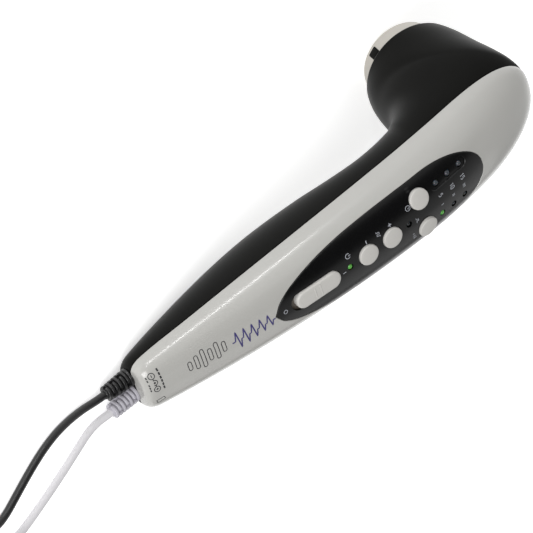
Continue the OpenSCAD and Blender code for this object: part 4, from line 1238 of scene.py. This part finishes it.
def make_cover_prints():
    """A made-up motif of outlined bars that run into a pulse line, and the polarity symbol."""
    bars = []
    heights = [2.2, 3.4, 4.6, 3.0, 4.2, 2.6]
    for k, h in enumerate(heights):
        x = 20.2 + 3.3 * k
        mid = 1.9 - 0.06 * k
        outline = stadium(2 * h, 1.7, 40)
        outline.append(outline[0])
        bars.append((dense([(x - v, mid + u) for u, v in outline])[:-1], 0.36, True))
    print_piece("cover_bars", bars, "ink_black")
    wave = [(40.5, 0.4)]
    for k in range(5):
        x = 42.0 + 3.9 * k
        high = 4.4 - 0.35 * k
        wave += [(x, 0.4 - 0.1 * k), (x + 1.0, 0.5 + high), (x + 2.2, 0.3 - high), (x + 3.0, 0.2 - 0.1 * k)]
    wave.append((61.8, -0.3))
    print_piece("cover_wave", [(dense(wave, 0.5), 0.62, False)], "ink_indigo")
    marks = [ring_mark((3.5, 7.2), 1.35, 0.34), ring_mark((3.9, 0.4), 1.35, 0.34)]
    marks.append(arc_mark((3.7, 3.8), 1.25, -120, 120, 12, 0.36))
    marks.append(ring_mark((3.7, 3.8), 0.25, 0.48, 16))
    lines = [[(3.55, 5.85), (3.6, 5.1)], [(3.8, 2.9), (3.85, 1.75)], [(3.5, 7.8), (3.5, 6.6)],
             [(3.9, 1.0), (3.9, -0.2)], [(3.3, 0.4), (4.5, 0.4)]]
    marks += [(dense(line, 0.3), 0.34, False) for line in lines]
    # Plain dashes in place of two rows of words, and an outline in place of a small mark
    marks += [(dense([(6.9, y), (6.9, y - 1.3)], 0.4), 0.75, False) for y in (9.2, 7.4, 5.6, 3.8, 2.0, 0.2)]
    marks += [(dense([(1.2, y), (1.25, y - 1.0)], 0.4), 0.5, False) for y in (7.6, 6.2, 4.0, 2.6, 1.2)]
    marks.append((dense([(2.2, -5.6), (5.6, -5.2), (6.2, -6.6), (2.6, -7.4), (2.2, -5.6)], 0.6), 0.28, False))
    print_piece("cover_marks", marks, "ink_black")


# --- the frame's own pieces that stay ---
KEPT = {
    "slider_lever": "switch_black", "main_board": "board_green", "slide_switch": "switch_steel",
    "button_switches": "switch_black", "control_chip": "chip_black", "transformer": "ferrite",
    "output_coil": "copper", "capacitors": "capacitor", "board_screws": "steel", "casing_screws": "steel",
    "seal_ring": "seal_rubber", "piezo_disc": "ceramic", "transducer_holder": "holder_white",
    "contact_spring": "steel", "transducer_wires": "wire_red", "supply_wires": "wire_blue",
}


def dress_kept_nodes():
    for node, look in KEPT.items():
        mesh = frame["nodes"][node].data
        if not mesh.materials:
            mesh.materials.append(None)
        for i in range(len(mesh.materials)):
            mesh.materials[i] = looks[look]


# --- floor, light ---
FLOOR_GLOW = 0.5
FLOOR_HALF = 4.0


def make_floor():
    """A pale floor that glows a little, so that shadows on it stay faint."""
    half = FLOOR_HALF
    mesh = bpy.data.meshes.new("floor")
    corners = [(-half, -half, 0), (half, -half, 0), (half, half, 0), (-half, half, 0)]
    mesh.from_pydata(corners, [], [(0, 1, 2, 3)])
    floor = bpy.data.objects.new("floor", mesh)
    floor.location.z = -0.0001
    bpy.context.scene.collection.objects.link(floor)
    mat = plastic("floor_pale", (0.93, 0.93, 0.93), 0.9, grain=30, shift=0.004)
    feed(mat.node_tree, mat.node_tree.nodes["Principled BSDF"],
         {"Emission Color": (1, 1, 1, 1), "Emission Strength": FLOOR_GLOW})
    mesh.materials.append(mat)


def area(name, direction, distance, size, size_y, watts, along=(1, 0, 0)):
    data = bpy.data.lights.new(name, "AREA")
    data.shape = "RECTANGLE"
    data.size, data.size_y, data.energy = size, size_y, watts
    obj = bpy.data.objects.new(name, data)
    back = Vector(direction).normalized()
    x = (Vector(along) - back * Vector(along).dot(back)).normalized()
    obj.matrix_world = (Matrix.Translation(back * distance)
                        @ Matrix((x, back.cross(x), back)).transposed().to_4x4())
    obj.visible_camera = False
    bpy.context.scene.collection.objects.link(obj)
    return obj


def make_world():
    """Pale all round, but dim overhead and low on the far side, so that gloss has something to show."""
    world_data = bpy.data.worlds.new("studio")
    bpy.context.scene.world = world_data
    world_data.use_nodes = True
    tree = world_data.node_tree
    where = add(tree, "TexCoord", "Generated")
    y, z = (add(tree, "SeparateXYZ", axis, Vector=where) for axis in "YZ")
    ramp = tree.nodes.new("ShaderNodeValToRGB")
    ramp.color_ramp.interpolation = "EASE"
    stops = [(0.0, 1.0), (0.50, 0.97), (0.62, 0.7), (0.80, 0.6), (0.93, 0.44), (0.965, 0.065), (0.99, 0.025)]
    for i, (place, level) in enumerate(stops):
        e = ramp.color_ramp.elements[i] if i < 2 else ramp.color_ramp.elements.new(place)
        e.position = place
        e.color = (level, level, level * 0.99, 1)
    tree.links.new(ranged(tree, z, -1, 1, 0, 1), ramp.inputs["Fac"])
    feed(tree, tree.nodes["Background"], {"Color": ramp.outputs["Color"],
                                          "Strength": ranged(tree, y, -0.97, -0.6, 0.35, 1.2)})


def make_lighting():
    make_world()
    area("strip", (-0.03, 0.95, 0.27), 1.6, 1.25, 0.05, 4.2, along=(0.5, 0.1, -0.43))
    area("key", (-0.80, 0.30, 0.52), 2.2, 1.4, 1.0, 30)
    area("back_fill", (0.2, -0.85, 0.5), 2.4, 1.6, 1.2, 3)
    bpy.context.scene.view_settings.view_transform = "Standard"


make_camera()
looks = make_materials()
power_lead = make_lead("lead_power", POWER_ROUTE, POWER_COIL, POWER_END_ROUTE, "black_cord", "power_lead")
electrode_lead = make_lead("lead_electrode", ELECTRODE_ROUTE, ELECTRODE_COIL, ELECTRODE_END_ROUTE,
                           "white_cord", "electrode_lead")
power_tie = make_tie("tie_power", POWER_COIL, 4, 310, "power_lead_tie")
electrode_tie = make_tie("tie_electrode", ELECTRODE_COIL, 3, 100, "electrode_lead_tie")
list(make_power_plug())
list(make_electrode_plug())
make_relief("relief_power", 1, "black_cord", "power_strain_relief")
make_relief("relief_electrode", -1, "grey_relief", "electrode_strain_relief")
make_cover()
make_casing()
make_panel()
for button in BUTTONS_AT:
    make_button(button)
make_slider()
make_lights()
make_applicator()
make_panel_prints()
make_cover_prints()
dress_kept_nodes()
make_floor()
make_lighting()
